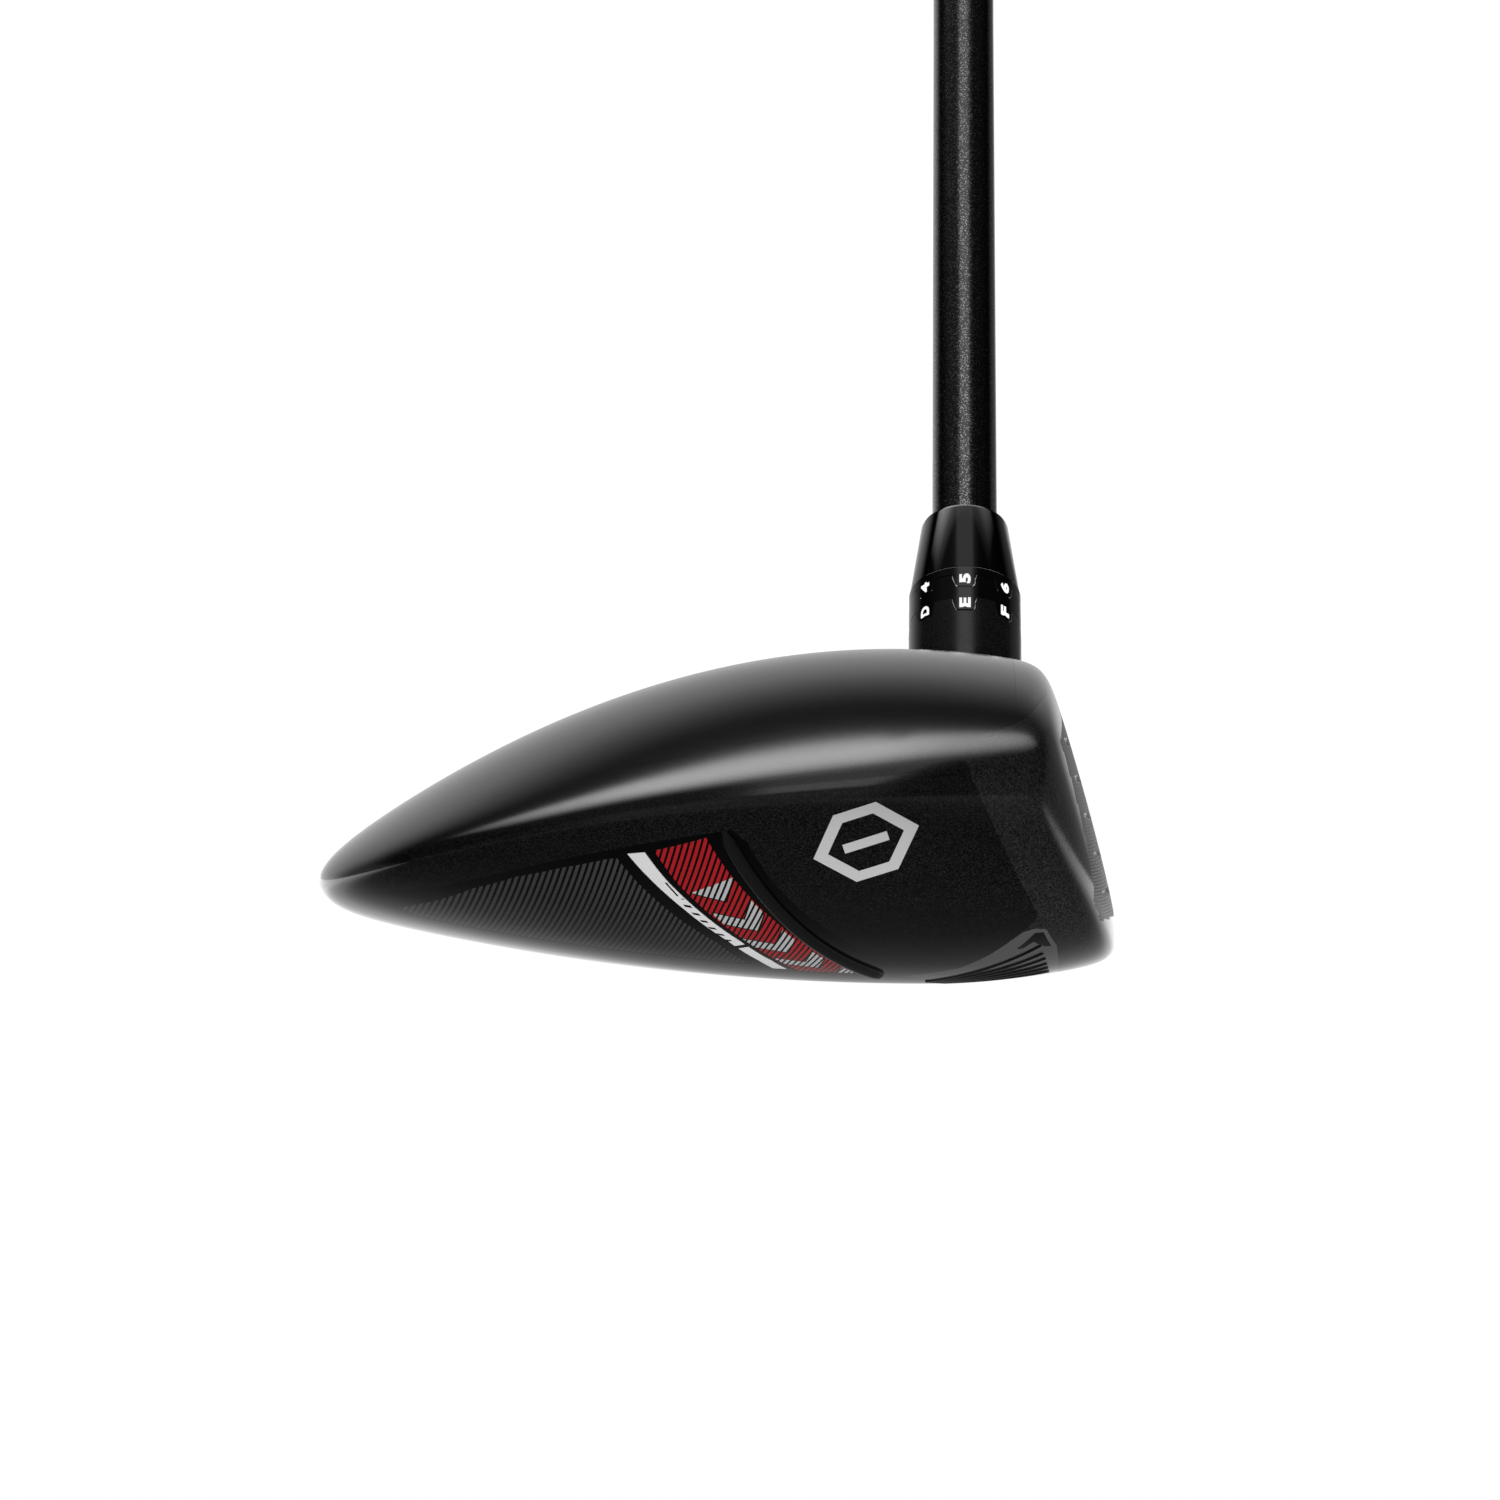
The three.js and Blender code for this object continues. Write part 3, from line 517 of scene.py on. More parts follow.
RIDGES = ((13.0, -27.9, 8.9, -23.8, 2.4), (13.3, -25.5, 9.6, -21.9, 3.3), (13.6, -23.5, 10.2, -20.2, 4.2),
          (13.8, -21.1, 10.8, -18.3, 5.1), (14.0, -18.7, 11.3, -16.3, 6.0), (14.2, -15.6, 11.8, -13.9, 6.9))
# The cast ridges are picked out in gloss black, each with a thin bright line of reflected floor.
ridge_coat = lacquer("gloss lacquer on cast ridges", "050505")[0]
for number, (x0, y0, x1, y1, x2) in enumerate(RIDGES):
    line = []
    for t in np.linspace(0, 1, 16):
        x = (1 - t) ** 2 * x0 + 2 * t * (1 - t) * x1 + t * t * x2 * 0.4
        y = (1 - t) ** 2 * y0 + 2 * t * (1 - t) * y1 + t * t * (-15.2 + number * 0.35)
        line.append(sole_point(x, y))
    for side, name in ((1, "toe"), (-1, "heel")):
        bar = [(x, y * side, z + 0.02) for x, y, z in line]
        ridge = shown(f"{name}_front_ridge_{number + 1}", swept(bar, 0.22, 8), ridge_coat)
        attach(ridge, "head")


# ---- body casting --------------------------------------------------------------------------------
# One investment casting in steel: skirt, sole frame, hosel and weight boss. The skirt and the toe
# are painted satin; the sole behind the rails is lacquered gloss black and holds the inlays.
SKIRT_LINE = [(-66.5, 10.8), (-61.9, 10.9), (-54.6, 11.1), (-49.8, 11.7), (-44, 13.0), (-36.8, 14.7),
              (-28, 16.4), (-19.4, 17.8), (-15, 18.2)]
SATIN_EDGE = [(-18.3, -46.3), (-16.8, -45.2), (-14.6, -41.1), (-11.9, -37.1), (-6.9, -30.6), (-3.6, -25.4),
              (-1.3, -19.3)]


def gloss_region():
    edge = [(-90, -60), (-22, -60)] + SATIN_EDGE + [(6, -12)]
    plan = prism(edge + mirrored(edge), -5, 30)
    below = prism([(-90, -20), (-90, 10.8)] + SKIRT_LINE + [(40, 18.2), (40, -20)], -80, 80, side=True)
    return joined(plan, below, "INTERSECT")


def on_axis(bm):
    """Moves a piece modelled along +Z, in metres, on to the shaft axis."""
    turn = Matrix.Rotation(LIE - math.pi / 2, 4, "X")
    bmesh.ops.transform(bm, matrix=Matrix.Translation(Vector(AXIS_FOOT) * MM) @ turn, verts=bm.verts[:])
    return bm


def rod(radius, bottom, top, sides=96):
    bm = bmesh.new()
    bmesh.ops.create_cone(bm, cap_ends=True, segments=sides, radius1=radius * MM, radius2=radius * MM,
                          depth=(top - bottom) * MM)
    bmesh.ops.translate(bm, verts=bm.verts[:], vec=(0, 0, (top + bottom) / 2 * MM))
    return bm


GAP = 0.12
TEETH = {"count": 8, "depth": 1.85, "tip": 0.4, "root": 0.56, "reach": 12, "corner": 0.55, "inner": 0.05}


def teeth(height, grow):
    """Eight tapered teeth with rounded corners that hang below a height on the axis."""
    pitch = 2 * math.pi / TEETH["count"]
    reach = TEETH["reach"]
    wide = reach * math.tan(pitch * TEETH["root"] / 2) + grow
    narrow = reach * math.tan(pitch * TEETH["tip"] / 2) + grow
    deep = TEETH["depth"] + grow
    wedges = []
    for number in range(TEETH["count"]):
        bm = bmesh.new()
        outline = ((-wide - 0.5, 0.7), (-wide - 0.5, 0.3), (-wide, 0), (-narrow, -deep), (narrow, -deep),
                   (wide, 0), (wide + 0.5, 0.3), (wide + 0.5, 0.7))
        corners = [bm.verts.new((reach, across, up)) for across, up in outline]
        bm.faces.new(corners)
        bmesh.ops.bevel(bm, geom=corners[3:5], affect="VERTICES", offset=TEETH["corner"], segments=4,
                        profile=0.5, material=-1)
        inner = bmesh.ops.extrude_face_region(bm, geom=bm.faces[:])
        for v in inner["geom"]:
            if isinstance(v, bmesh.types.BMVert):
                v.co.x, v.co.y = v.co.x * TEETH["inner"], v.co.y * TEETH["inner"]
        bmesh.ops.recalc_face_normals(bm, faces=bm.faces[:])
        turn = Matrix.Rotation(number * pitch - math.pi / 2, 4, "Z")
        place = Matrix.Translation((0, 0, height * MM)) @ turn
        bmesh.ops.transform(bm, matrix=place @ Matrix.Scale(MM, 4), verts=bm.verts[:])
        wedges.append(bm)
    return wedges


WEIGHT = {"x": -53.0, "radius": 5.4, "stem": 2.9, "boss": 7.4, "seat": 4.1}
WEIGHT_SLOPE = math.atan(2 * SOLE["rear"] * WEIGHT["x"])
WEIGHT_FOOT = sole_point(WEIGHT["x"], 0.0)


def on_weight(bm):
    """Moves a piece modelled along +Z, in metres, on to the rear weight's axis."""
    place = Matrix.Translation(Vector(WEIGHT_FOOT) * MM) @ Matrix.Rotation(-WEIGHT_SLOPE, 4, "Y")
    bmesh.ops.transform(bm, matrix=place, verts=bm.verts[:])
    return bm


def grown(points, by):
    """An outline moved outwards by a distance, corner by corner."""
    twice = sum(x * points[(i + 1) % len(points)][1] - points[(i + 1) % len(points)][0] * y
                for i, (x, y) in enumerate(points))
    sense = 1 if twice > 0 else -1
    moved = []
    for i, here in enumerate(points):
        before = (Vector(here) - Vector(points[i - 1])).normalized()
        after = (Vector(points[(i + 1) % len(points)]) - Vector(here)).normalized()
        middle = (before + after).normalized()
        reach = by * sense / max(middle.dot(after), 0.5)
        moved.append((here[0] + middle.y * reach, here[1] - middle.x * reach))
    return moved


RAIL_FROM, RAIL_TO = Vector((-19.2, -46.2)), Vector((-3.6, -19.8))
RAIL_WAY = (RAIL_TO - RAIL_FROM).normalized()
RAIL_BACK = Vector((-RAIL_WAY.y, RAIL_WAY.x))


# Plan outlines of the toe-side inlays.
PANEL = [(-55.6, -25.2), (-52.6, -28.2), (-46.1, -34.3), (-41.2, -37.6), (-36.4, -39.9), (-31.5, -41.9),
         (-30.3, -42.2), (-28.4, -39.2), (-24.6, -33.8), (-20.9, -29.0), (-17.9, -22.8), (-53.8, -24)]
BADGE = [(-26.4, -43.6), (-21.0, -45.4), (-18.6, -41.2), (-15.4, -36.0), (-11.4, -29.8), (-7.6, -24.4),
         (-5.2, -20.5), (-12.8, -20.5), (-14.6, -24.2), (-17.6, -29.6), (-21.7, -35.8), (-24.4, -39.9)]
STRIP = [(-29.2, -42.9), (-27.4, -43.3), (-25.4, -40.0), (-22.6, -35.9), (-18.5, -29.9), (-15.4, -24.4),
         (-14.0, -21.2), (-15.5, -21.2), (-16.8, -24.2), (-19.9, -29.9), (-24.0, -35.8), (-26.8, -39.6)]
POCKET_DEPTH, INLAY_DEPTH = 1.1, 0.8


def sole_prism(points):
    """An upright prism that stops below the crown's edge."""
    low = prism([(-80, -20), (-80, 7.9), (40, 29.5), (40, -20)], -80, 80, side=True)
    return joined(prism(points, -5, 30), low, "INTERSECT")


# Radius, bottom and top of each bore: for the sleeve, the screw's shank and its head along the
# shaft axis, then for the weight's head and its thread along the weight's axis.
HOSEL_BORES = ((HOSEL["bore"], HOSEL["floor"], 60), (2.8, 0, 18), (HOSEL["port"], 0, 14.5))
WEIGHT_BORES = ((WEIGHT["radius"] + 0.35, -4, WEIGHT["seat"]), (WEIGHT["stem"] + 0.3, 0, 6.9))
body_bm = joined(joined(shell.copy(), crown_region(0.02), "DIFFERENCE"), cup_region(), "DIFFERENCE")
inside_sole = joined(on_axis(rod(HOSEL["radius"], 2, 22)), skin.copy(), "INTERSECT")
hosel = joined(on_axis(rod(HOSEL["radius"], 20, HOSEL["top"], 160)), inside_sole, "UNION")
boss = joined(on_weight(rod(WEIGHT["boss"], -1, 7.5)), skin.copy(), "INTERSECT")
for part in (hosel, boss):
    body_bm = joined(body_bm, part, "UNION")
for radius, bottom, top in HOSEL_BORES:
    body_bm = joined(body_bm, on_axis(rod(radius, bottom, top)), "DIFFERENCE")
for radius, bottom, top in WEIGHT_BORES:
    body_bm = joined(body_bm, on_weight(rod(radius, bottom, top)), "DIFFERENCE")
for wedge in teeth(HOSEL["top"], GAP):
    body_bm = joined(body_bm, on_axis(wedge), "DIFFERENCE")
gloss_bm = joined(body_bm.copy(), gloss_region(), "INTERSECT")
# Satin flake paint over cast steel, the same as on the crown, so the two run together.
body_coat, body_shader = finish("satin flake paint on cast steel", "161617", 0.22)
flecks(body_coat, body_shader, "0b0b0c", "303032", **SATIN)
# The hosel tube is blasted coarser than the rest before painting, so its sheen spreads wider.
tree = body_coat.node_tree
place = add_node(tree, "ShaderNodeTexCoord").outputs["Object"]
height = add_node(tree, "ShaderNodeSeparateXYZ", Vector=place)
blasted = add_node(tree, "ShaderNodeMapRange", Value=height.outputs["Z"], From_Min=CROWN["top"] * MM,
                   From_Max=(CROWN["top"] + 2) * MM, To_Max=0.12)
fine = body_shader.inputs["Roughness"].links[0].from_socket
coarse = add_node(tree, "ShaderNodeMath", {"operation": "ADD"}, i0=fine, i1=blasted.outputs["Result"])
tree.links.new(coarse.outputs[0], body_shader.inputs["Roughness"])
body = shown("satin_body", joined(body_bm, gloss_region(), "DIFFERENCE"), body_coat, crease=24)
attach(body, "head")
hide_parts("body_casting")

for points in (PANEL, BADGE, STRIP):
    for flip in (points, mirrored(points)):
        pocket = joined(sole_prism(grown(flip, GAP / 2)), head_skin(40, even=POCKET_DEPTH), "DIFFERENCE")
        gloss_bm = joined(gloss_bm, pocket, "DIFFERENCE")
gloss = shown("gloss_sole", gloss_bm, gloss_coat)
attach(gloss, "head")

# Cast rails between the badges and the satin toe and heel, lacquered with the sole but in a lighter grey: a
# painted sheen standing in for the bright line of light along each rail.
RAIL_RADIUS = 0.8
rail_coat_with_painted_sheen = lacquer("lighter gloss lacquer on cast rail, as painted sheen", "242425")[0]


def rail_radius(t):
    """The rail keeps its radius almost to its ends, where it rounds off."""
    return RAIL_RADIUS * math.sqrt(max(0.05, 1 - abs(2 * t - 1) ** 24))


rail_line = [sole_point(*(RAIL_FROM.lerp(RAIL_TO, t) + RAIL_BACK * 0.5 * math.sin(math.pi * t)))
             for t in np.linspace(0, 1, 30)]
for side, name in ((1, "toe"), (-1, "heel")):
    bar = [(x, y * side, z + 0.05) for x, y, z in rail_line]
    rail = shown(name + "_rail", swept(bar, rail_radius, 16), rail_coat_with_painted_sheen)
    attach(rail, "head")


# ---- sole panels, badges and strips -----------------------------------------------------------------
# Moulded inlays printed under a clear gloss film and bonded into pockets of the sole: grey slanted
# stripes, red stripes with white chevrons, and a silver strip with plain slashes.
STRIPE_PITCH = 0.59
STRIPE_TURN = math.radians(19)
inlay_floor = head_skin(70, even=INLAY_DEPTH)


def inlay(points):
    """A flush inlay of even thickness over a plan outline."""
    return joined(joined(skin.copy(), sole_prism(points), "INTERSECT"), inlay_floor.copy(), "DIFFERENCE")


def along(tree, ways):
    """Distances in mm from the origin along plan directions, from Object coordinates."""
    place = add_node(tree, "ShaderNodeTexCoord").outputs["Object"]
    sums = []
    for x, y in ways:
        dot = add_node(tree, "ShaderNodeVectorMath", {"operation": "DOT_PRODUCT"}, i0=place,
                       i1=(x / MM, y / MM, 0))
        sums.append(dot.outputs["Value"])
    return sums


def formula(tree, start, *steps):
    """A value worked out from another, step by step: each step is an operation and its second value."""
    value = start
    for operation, other in steps:
        node = add_node(tree, "ShaderNodeMath", {"operation": operation}, i0=value)
        if other is not None:
            if isinstance(other, bpy.types.NodeSocket):
                tree.links.new(other, node.inputs[1])
            else:
                node.inputs[1].default_value = other
        value = node.outputs[0]
    return value


def painted(tree, shader, layers, base):
    """Print layers over a base colour; each layer is a mask and a colour."""
    last = base
    for mask, colour in layers:
        mixed = add_node(tree, "ShaderNodeMix", {"data_type": "RGBA"}, Factor=mask)
        if isinstance(last, str):
            mixed.inputs[6].default_value = linear(last)
        else:
            tree.links.new(last, mixed.inputs[6])
        mixed.inputs[7].default_value = linear(colour)
        last = mixed.outputs[2]
    tree.links.new(last, shader.inputs["Base Color"])


for side, name in ((1, "toe"), (-1, "heel")):
    stripe_way = (math.cos(STRIPE_TURN), side * math.sin(STRIPE_TURN))
    rail_along = (RAIL_WAY.x, side * RAIL_WAY.y)
    rail_across = (RAIL_BACK.x, side * RAIL_BACK.y)

    # Grey ink on black film: fine stripes 0.59 mm apart under a clear gloss.
    panel_print, shader = lacquer(f"{name} panel, grey stripes printed under gloss film")
    tree = panel_print.node_tree
    (across,) = along(tree, [stripe_way])
    stripe = formula(tree, across, ("DIVIDE", STRIPE_PITCH), ("FLOORED_MODULO", 1.0), ("LESS_THAN", 0.55))
    painted(tree, shader, [(stripe, "4c4c4e")], "020202")
    flip = PANEL if side == 1 else mirrored(PANEL)
    panel = shown(f"{name}_striped_panel", inlay(flip), panel_print)
    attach(panel, "head")
    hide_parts(f"{name}_sole_panel")

    # Red ink broken by the same stripes, with white chevrons outlined in black, under gloss film.
    badge_print, shader = lacquer(f"{name} badge, red stripes and white chevrons under gloss film")
    tree = badge_print.node_tree
    across, far, out = along(tree, [stripe_way, rail_along, rail_across])
    stripe = formula(tree, across, ("DIVIDE", STRIPE_PITCH), ("FLOORED_MODULO", 1.0), ("LESS_THAN", 0.6))
    middle = RAIL_FROM.dot(RAIL_BACK) + 4.6
    off_middle = formula(tree, out, ("SUBTRACT", middle), ("ABSOLUTE", None))
    inner = formula(tree, off_middle, ("LESS_THAN", 2.5))
    slanted = formula(tree, far, ("ADD", off_middle), ("DIVIDE", 5.8), ("FLOORED_MODULO", 1.0))
    chevron = formula(tree, slanted, ("SUBTRACT", 0.5), ("ABSOLUTE", None), ("LESS_THAN", 0.2))
    frame_line = formula(tree, slanted, ("SUBTRACT", 0.5), ("ABSOLUTE", None), ("LESS_THAN", 0.24),
                         ("MULTIPLY", inner))
    low = formula(tree, far, ("GREATER_THAN", RAIL_FROM.dot(RAIL_WAY) + 4.6))
    white = formula(tree, chevron, ("MULTIPLY", inner), ("MULTIPLY", stripe), ("MULTIPLY", low))
    outline = formula(tree, frame_line, ("MULTIPLY", low))
    painted(tree, shader, [(stripe, "b81f27"), (outline, "030303"), (white, "c4c4c4")], "030303")
    flip = BADGE if side == 1 else mirrored(BADGE)
    badge = shown(f"{name}_red_badge", inlay(flip), badge_print)
    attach(badge, "head")
    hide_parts(f"{name}_badge")

    # Bright silver film with small black slashes along its middle: the lightest thing on the sole.
    strip_print, shader = lacquer(f"{name} strip, black slashes printed on silver film")
    tree = strip_print.node_tree
    far, out = along(tree, [rail_along, rail_across])
    middle = RAIL_FROM.dot(RAIL_BACK) + 8.75
    off_middle = formula(tree, out, ("SUBTRACT", middle))
    slant = formula(tree, off_middle, ("MULTIPLY", 0.8))
    slash = formula(tree, far, ("ADD", slant), ("DIVIDE", 1.5), ("FLOORED_MODULO", 1.0), ("LESS_THAN", 0.32))
    inner = formula(tree, off_middle, ("ABSOLUTE", None), ("LESS_THAN", 0.3))
    start = RAIL_FROM.dot(RAIL_WAY)
    centred = formula(tree, far, ("SUBTRACT", start + 9.5), ("ABSOLUTE", None), ("LESS_THAN", 4.5))
    mark = formula(tree, slash, ("MULTIPLY", inner), ("MULTIPLY", centred))
    line = formula(tree, off_middle, ("ABSOLUTE", None), ("LESS_THAN", 0.1))
    begins = formula(tree, far, ("SUBTRACT", start + 3.4), ("ABSOLUTE", None), ("LESS_THAN", 1.1),
                     ("MULTIPLY", line))
    gap = formula(tree, far, ("SUBTRACT", start + 15.6), ("ABSOLUTE", None), ("LESS_THAN", 0.35))
    painted(tree, shader, [(mark, "0a0a0a"), (begins, "0a0a0a"), (gap, "050505")], "f2f2f2")
    flip = STRIP if side == 1 else mirrored(STRIP)
    strip = shown(f"{name}_silver_strip", inlay(flip), strip_print)
    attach(strip, "head")
    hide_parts(f"{name}_badge_strip")


# ---- toe emblem --------------------------------------------------------------------------------------
# A plain six-sided frame with a short bar, cut from silver aluminium film and bonded in a shallow
# recess of the toe.
EMBLEM = {"x": -4.9, "z": 16.7, "half": 5.6, "rise": 3.6, "turn": 0.31, "opening": 0.72}


def on_emblem(corners):
    """Corners in shares of the emblem's half width and height, as X and Z on the toe."""
    c, s = math.cos(EMBLEM["turn"]), math.sin(EMBLEM["turn"])
    sized = [(a * EMBLEM["half"], b * EMBLEM["rise"]) for a, b in corners]
    return [(EMBLEM["x"] + a * c - b * s, EMBLEM["z"] + a * s + b * c) for a, b in sized]


def six_sided(scale):
    return on_emblem([(a * scale, b * scale) for a, b in
                      ((-1, 0), (-0.4, -1), (0.4, -1), (1, 0), (0.4, 1), (-0.4, 1))])


def emblem_bar(half, rise):
    return on_emblem([(-half, -rise), (half, -rise), (half, rise), (-half, rise)])


emblem_frame = joined(prism(six_sided(1), -60, -20, side=True),
                      prism(six_sided(EMBLEM["opening"]), -61, -19, side=True), "DIFFERENCE")
emblem_frame = joined(emblem_frame, prism(emblem_bar(0.42, 0.13), -60, -20, side=True), "UNION")
emblem_bm = joined(head_skin(110, even=-0.12), emblem_frame, "INTERSECT")
emblem_bm = joined(emblem_bm, head_skin(60, even=0.3), "DIFFERENCE")
# Satin aluminium film: pale, evenly lit, with a fine brushed grain.
emblem_film, emblem_shader = finish("satin aluminium film", "dedede", 0.42, 0.1)
tree = emblem_film.node_tree
grain = add_node(tree, "ShaderNodeTexNoise", Vector=add_node(tree, "ShaderNodeTexCoord").outputs["Object"],
                 Scale=1 / (0.15 * MM), Detail=2)
shade = add_node(tree, "ShaderNodeMapRange", Value=grain.outputs["Fac"], To_Min=0.36, To_Max=0.5)
tree.links.new(shade.outputs["Result"], emblem_shader.inputs["Roughness"])
emblem = shown("toe_lozenge_emblem", emblem_bm, emblem_film)
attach(emblem, "head")
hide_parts("toe_emblem")


# ---- adapter ---------------------------------------------------------------------------------------
# The loft adapter: an aluminium sleeve bonded to the shaft and a loose ring below it. Both have
# eight teeth that drop into notches, and are hard anodised, with white setting marks.
SLEEVE = {"top": 53.95, "crown": 52.75, "radius": 5.8, "bore": 4.55, "bottom": 19, "hole": 2.8,
          "hole_top": 30.5}
RING_TOP = SLEEVE["crown"] - GAP


def turned(profile, sides=128):
    """A solid of revolution about the axis from a closed outline of radius and height in mm."""
    bm = bmesh.new()
    corners = [bm.verts.new((r * MM, 0, z * MM)) for r, z in profile]
    edges = [bm.edges.new((a, b)) for a, b in zip(corners, corners[1:] + corners[:1])]
    bmesh.ops.spin(bm, geom=corners + edges, cent=(0, 0, 0), axis=(0, 0, 1), angle=2 * math.pi, steps=sides,
                   use_merge=True)
    bmesh.ops.remove_doubles(bm, verts=bm.verts[:], dist=0.001 * MM)
    bmesh.ops.recalc_face_normals(bm, faces=bm.faces[:])
    return bm


def pipe(inner, outer, bottom, top, sides=160):
    """A plain tube along +Z, in mm."""
    return turned([(inner, bottom), (outer, bottom), (outer, top), (inner, top)], sides)


def toothed(base, height, bore):
    """Adds eight teeth, cut to the collar's own wall, below a turned base."""
    for wedge in teeth(height, 0):
        tip = joined(wedge, pipe(bore, HOSEL["radius"], height - 3, height + 0.25), "INTERSECT")
        base = joined(base, tip, "UNION")
    return base


# Hard anodised aluminium: near black, with a silky, slightly grainy skin.
adapter_skin, adapter_shader = finish("hard anodised aluminium", "0a0a0b", 0.14)
flecks(adapter_skin, adapter_shader, "080809", "101011", 0.12, 0.1, 0.16, 0.02)

RING_BORE = SLEEVE["radius"] + 0.3
ring_bm = pipe(RING_BORE, HOSEL["radius"], HOSEL["top"] + GAP, RING_TOP)
ring_bm = toothed(ring_bm, HOSEL["top"] + GAP, RING_BORE)
for wedge in teeth(SLEEVE["crown"], GAP):
    ring_bm = joined(ring_bm, wedge, "DIFFERENCE")
ring_piece = shown("toothed_ring", on_axis(ring_bm), adapter_skin, crease=25)
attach(ring_piece, "ring")
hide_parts("adapter_ring")

sleeve_bm = turned([(SLEEVE["hole"], SLEEVE["bottom"]), (SLEEVE["radius"], SLEEVE["bottom"]),
                    (SLEEVE["radius"], SLEEVE["crown"]), (HOSEL["radius"], SLEEVE["crown"]),
                    (HOSEL["radius"], SLEEVE["top"] - 0.1), (HOSEL["radius"] - 0.1, SLEEVE["top"]),
                    (SLEEVE["bore"], SLEEVE["top"]),
                    (SLEEVE["bore"], SLEEVE["hole_top"]), (SLEEVE["hole"], SLEEVE["hole_top"])], 160)
sleeve_bm = toothed(sleeve_bm, SLEEVE["crown"], SLEEVE["radius"] - 0.1)
sleeve_piece = shown("toothed_sleeve", on_axis(sleeve_bm), adapter_skin, crease=25)
# The adapter, ferrule and shaft are held out of reflections, so the crown below them stays plain.
ring_piece.visible_glossy = False
sleeve_piece.visible_glossy = False
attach(sleeve_piece, "shaft_assembly")
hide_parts("adapter_sleeve")

# White pad-printed ink, thick and matt. It also glows a little, a painted light that keeps it white in a dark
# room.
mark_ink_and_glow, mark_ink_and_glow_shader = finish("white pad-printed ink with painted glow", "f2f2f2", 0.5)
tree = mark_ink_and_glow.node_tree
grain = add_node(tree, "ShaderNodeTexNoise", Vector=add_node(tree, "ShaderNodeTexCoord").outputs["Object"],
                 Scale=1 / (0.1 * MM))
shade = add_node(tree, "ShaderNodeMapRange", Value=grain.outputs["Fac"], To_Min=0.4, To_Max=0.6)
tree.links.new(shade.outputs["Result"], mark_ink_and_glow_shader.inputs["Roughness"])
# The emission is painted light: the ink is no lamp.
mark_ink_and_glow_shader.inputs["Emission Color"].default_value = (1, 1, 1, 1)
mark_ink_and_glow_shader.inputs["Emission Strength"].default_value = 0.7

MARK_HEIGHT, MARK_WIDTH = 1.45, 1.5
SLEEVE_MARK, RING_MARK = 52.05, 48.35


def setting_mark(name, letter, turn, height, body_name):
    """A raised figure printed round the collar, read up the shaft."""
    text = bpy.data.curves.new(name, "FONT")
    text.body = letter
    text.align_x, text.align_y = "CENTER", "CENTER"
    text.size = 1.0
    text.offset = 0.05
    text.extrude = 0.01
    holder = bpy.data.objects.new(name, text)
    bpy.context.scene.collection.objects.link(holder)
    shape = holder.evaluated_get(bpy.context.evaluated_depsgraph_get())
    bm = bmesh.new()
    bm.from_mesh(shape.to_mesh())
    shape.to_mesh_clear()
    bpy.data.objects.remove(holder)
    bmesh.ops.remove_doubles(bm, verts=bm.verts[:], dist=0.0005)
    low = min(v.co.y for v in bm.verts)
    high = max(v.co.y for v in bm.verts)
    left = min(v.co.x for v in bm.verts)
    right = max(v.co.x for v in bm.verts)
    scale = MARK_HEIGHT / (high - low)
    for v in bm.verts:
        up = (v.co.y - (low + high) / 2) * scale
        far = (v.co.x - (left + right) / 2) * MARK_WIDTH / (right - left)
        proud = HOSEL["radius"] + (0.03 if v.co.z > 0 else -0.15)
        angle = math.radians(turn) - math.pi / 2 - up / HOSEL["radius"]
        v.co = Vector((proud * math.cos(angle), proud * math.sin(angle), height + far)) * MM
    bmesh.ops.recalc_face_normals(bm, faces=bm.faces[:])
    piece = shown(name, on_axis(bm), mark_ink_and_glow, smooth=False)
    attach(piece, body_name)


LEVEL_MARKS = ("5", "6", "7", "8", "1", "2", "3", "4")
RING_LETTERS = ("E", "F", "G", "H", "A", "B", "C", "D")
for number, (level_mark, ring_letter) in enumerate(zip(LEVEL_MARKS, RING_LETTERS)):
    turn = number * 360 / TEETH["count"]
    setting_mark(f"sleeve_mark_{level_mark}", level_mark, turn, SLEEVE_MARK, "shaft_assembly")
    setting_mark(f"ring_mark_{ring_letter}", ring_letter, turn, RING_MARK, "ring")


# ---- ferrule -------------------------------------------------------------------------------------
# A tapered collar of polished black cellulose acetate, pushed down the shaft on to the sleeve and
# turned flush with it.
FERRULE = {"bottom": SLEEVE["top"] + GAP, "top": 65.2, "wide": 7.15, "narrow": 5.6}
ferrule_bm = turned([(SLEEVE["bore"], FERRULE["bottom"]), (FERRULE["wide"], FERRULE["bottom"]),
                     (FERRULE["narrow"] + 0.12, FERRULE["top"] - 0.7),
                     (FERRULE["narrow"] - 0.05, FERRULE["top"] - 0.3),
                     (FERRULE["narrow"] - 0.35, FERRULE["top"] - 0.07),
                     (FERRULE["narrow"] - 0.6, FERRULE["top"]), (SLEEVE["bore"], FERRULE["top"])])
# Polished black cellulose acetate: a deep, even gloss with sharp bands of reflected light.
acetate = lacquer("polished black cellulose acetate", "070708")[0]
ferrule = shown("tapered_ferrule", on_axis(ferrule_bm), acetate, crease=25)
ferrule.visible_glossy = False
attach(ferrule, "shaft_assembly")
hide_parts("ferrule")


# ---- shaft ---------------------------------------------------------------------------------------
# A tube of carbon fibre and epoxy, wound on a mandrel, sanded, painted black with metal flake and
# clear coated. A wooden plug stops resin running up the tip.
CLUB_LENGTH = 1092.0
SHAFT = {"tip": 31, "taper_from": 155, "taper_to": 880, "butt": CLUB_LENGTH - 4, "tip_radius": 4.25,
         "mid_radius": 4.34, "butt_radius": 7.6, "wall": 1.3}


def shaft_radius(z):
    """The shaft's outer radius at a height on its axis, in mm."""
    share = min(max((z - SHAFT["taper_from"]) / (SHAFT["taper_to"] - SHAFT["taper_from"]), 0), 1)
    return SHAFT["mid_radius"] + (SHAFT["butt_radius"] - SHAFT["mid_radius"]) * share


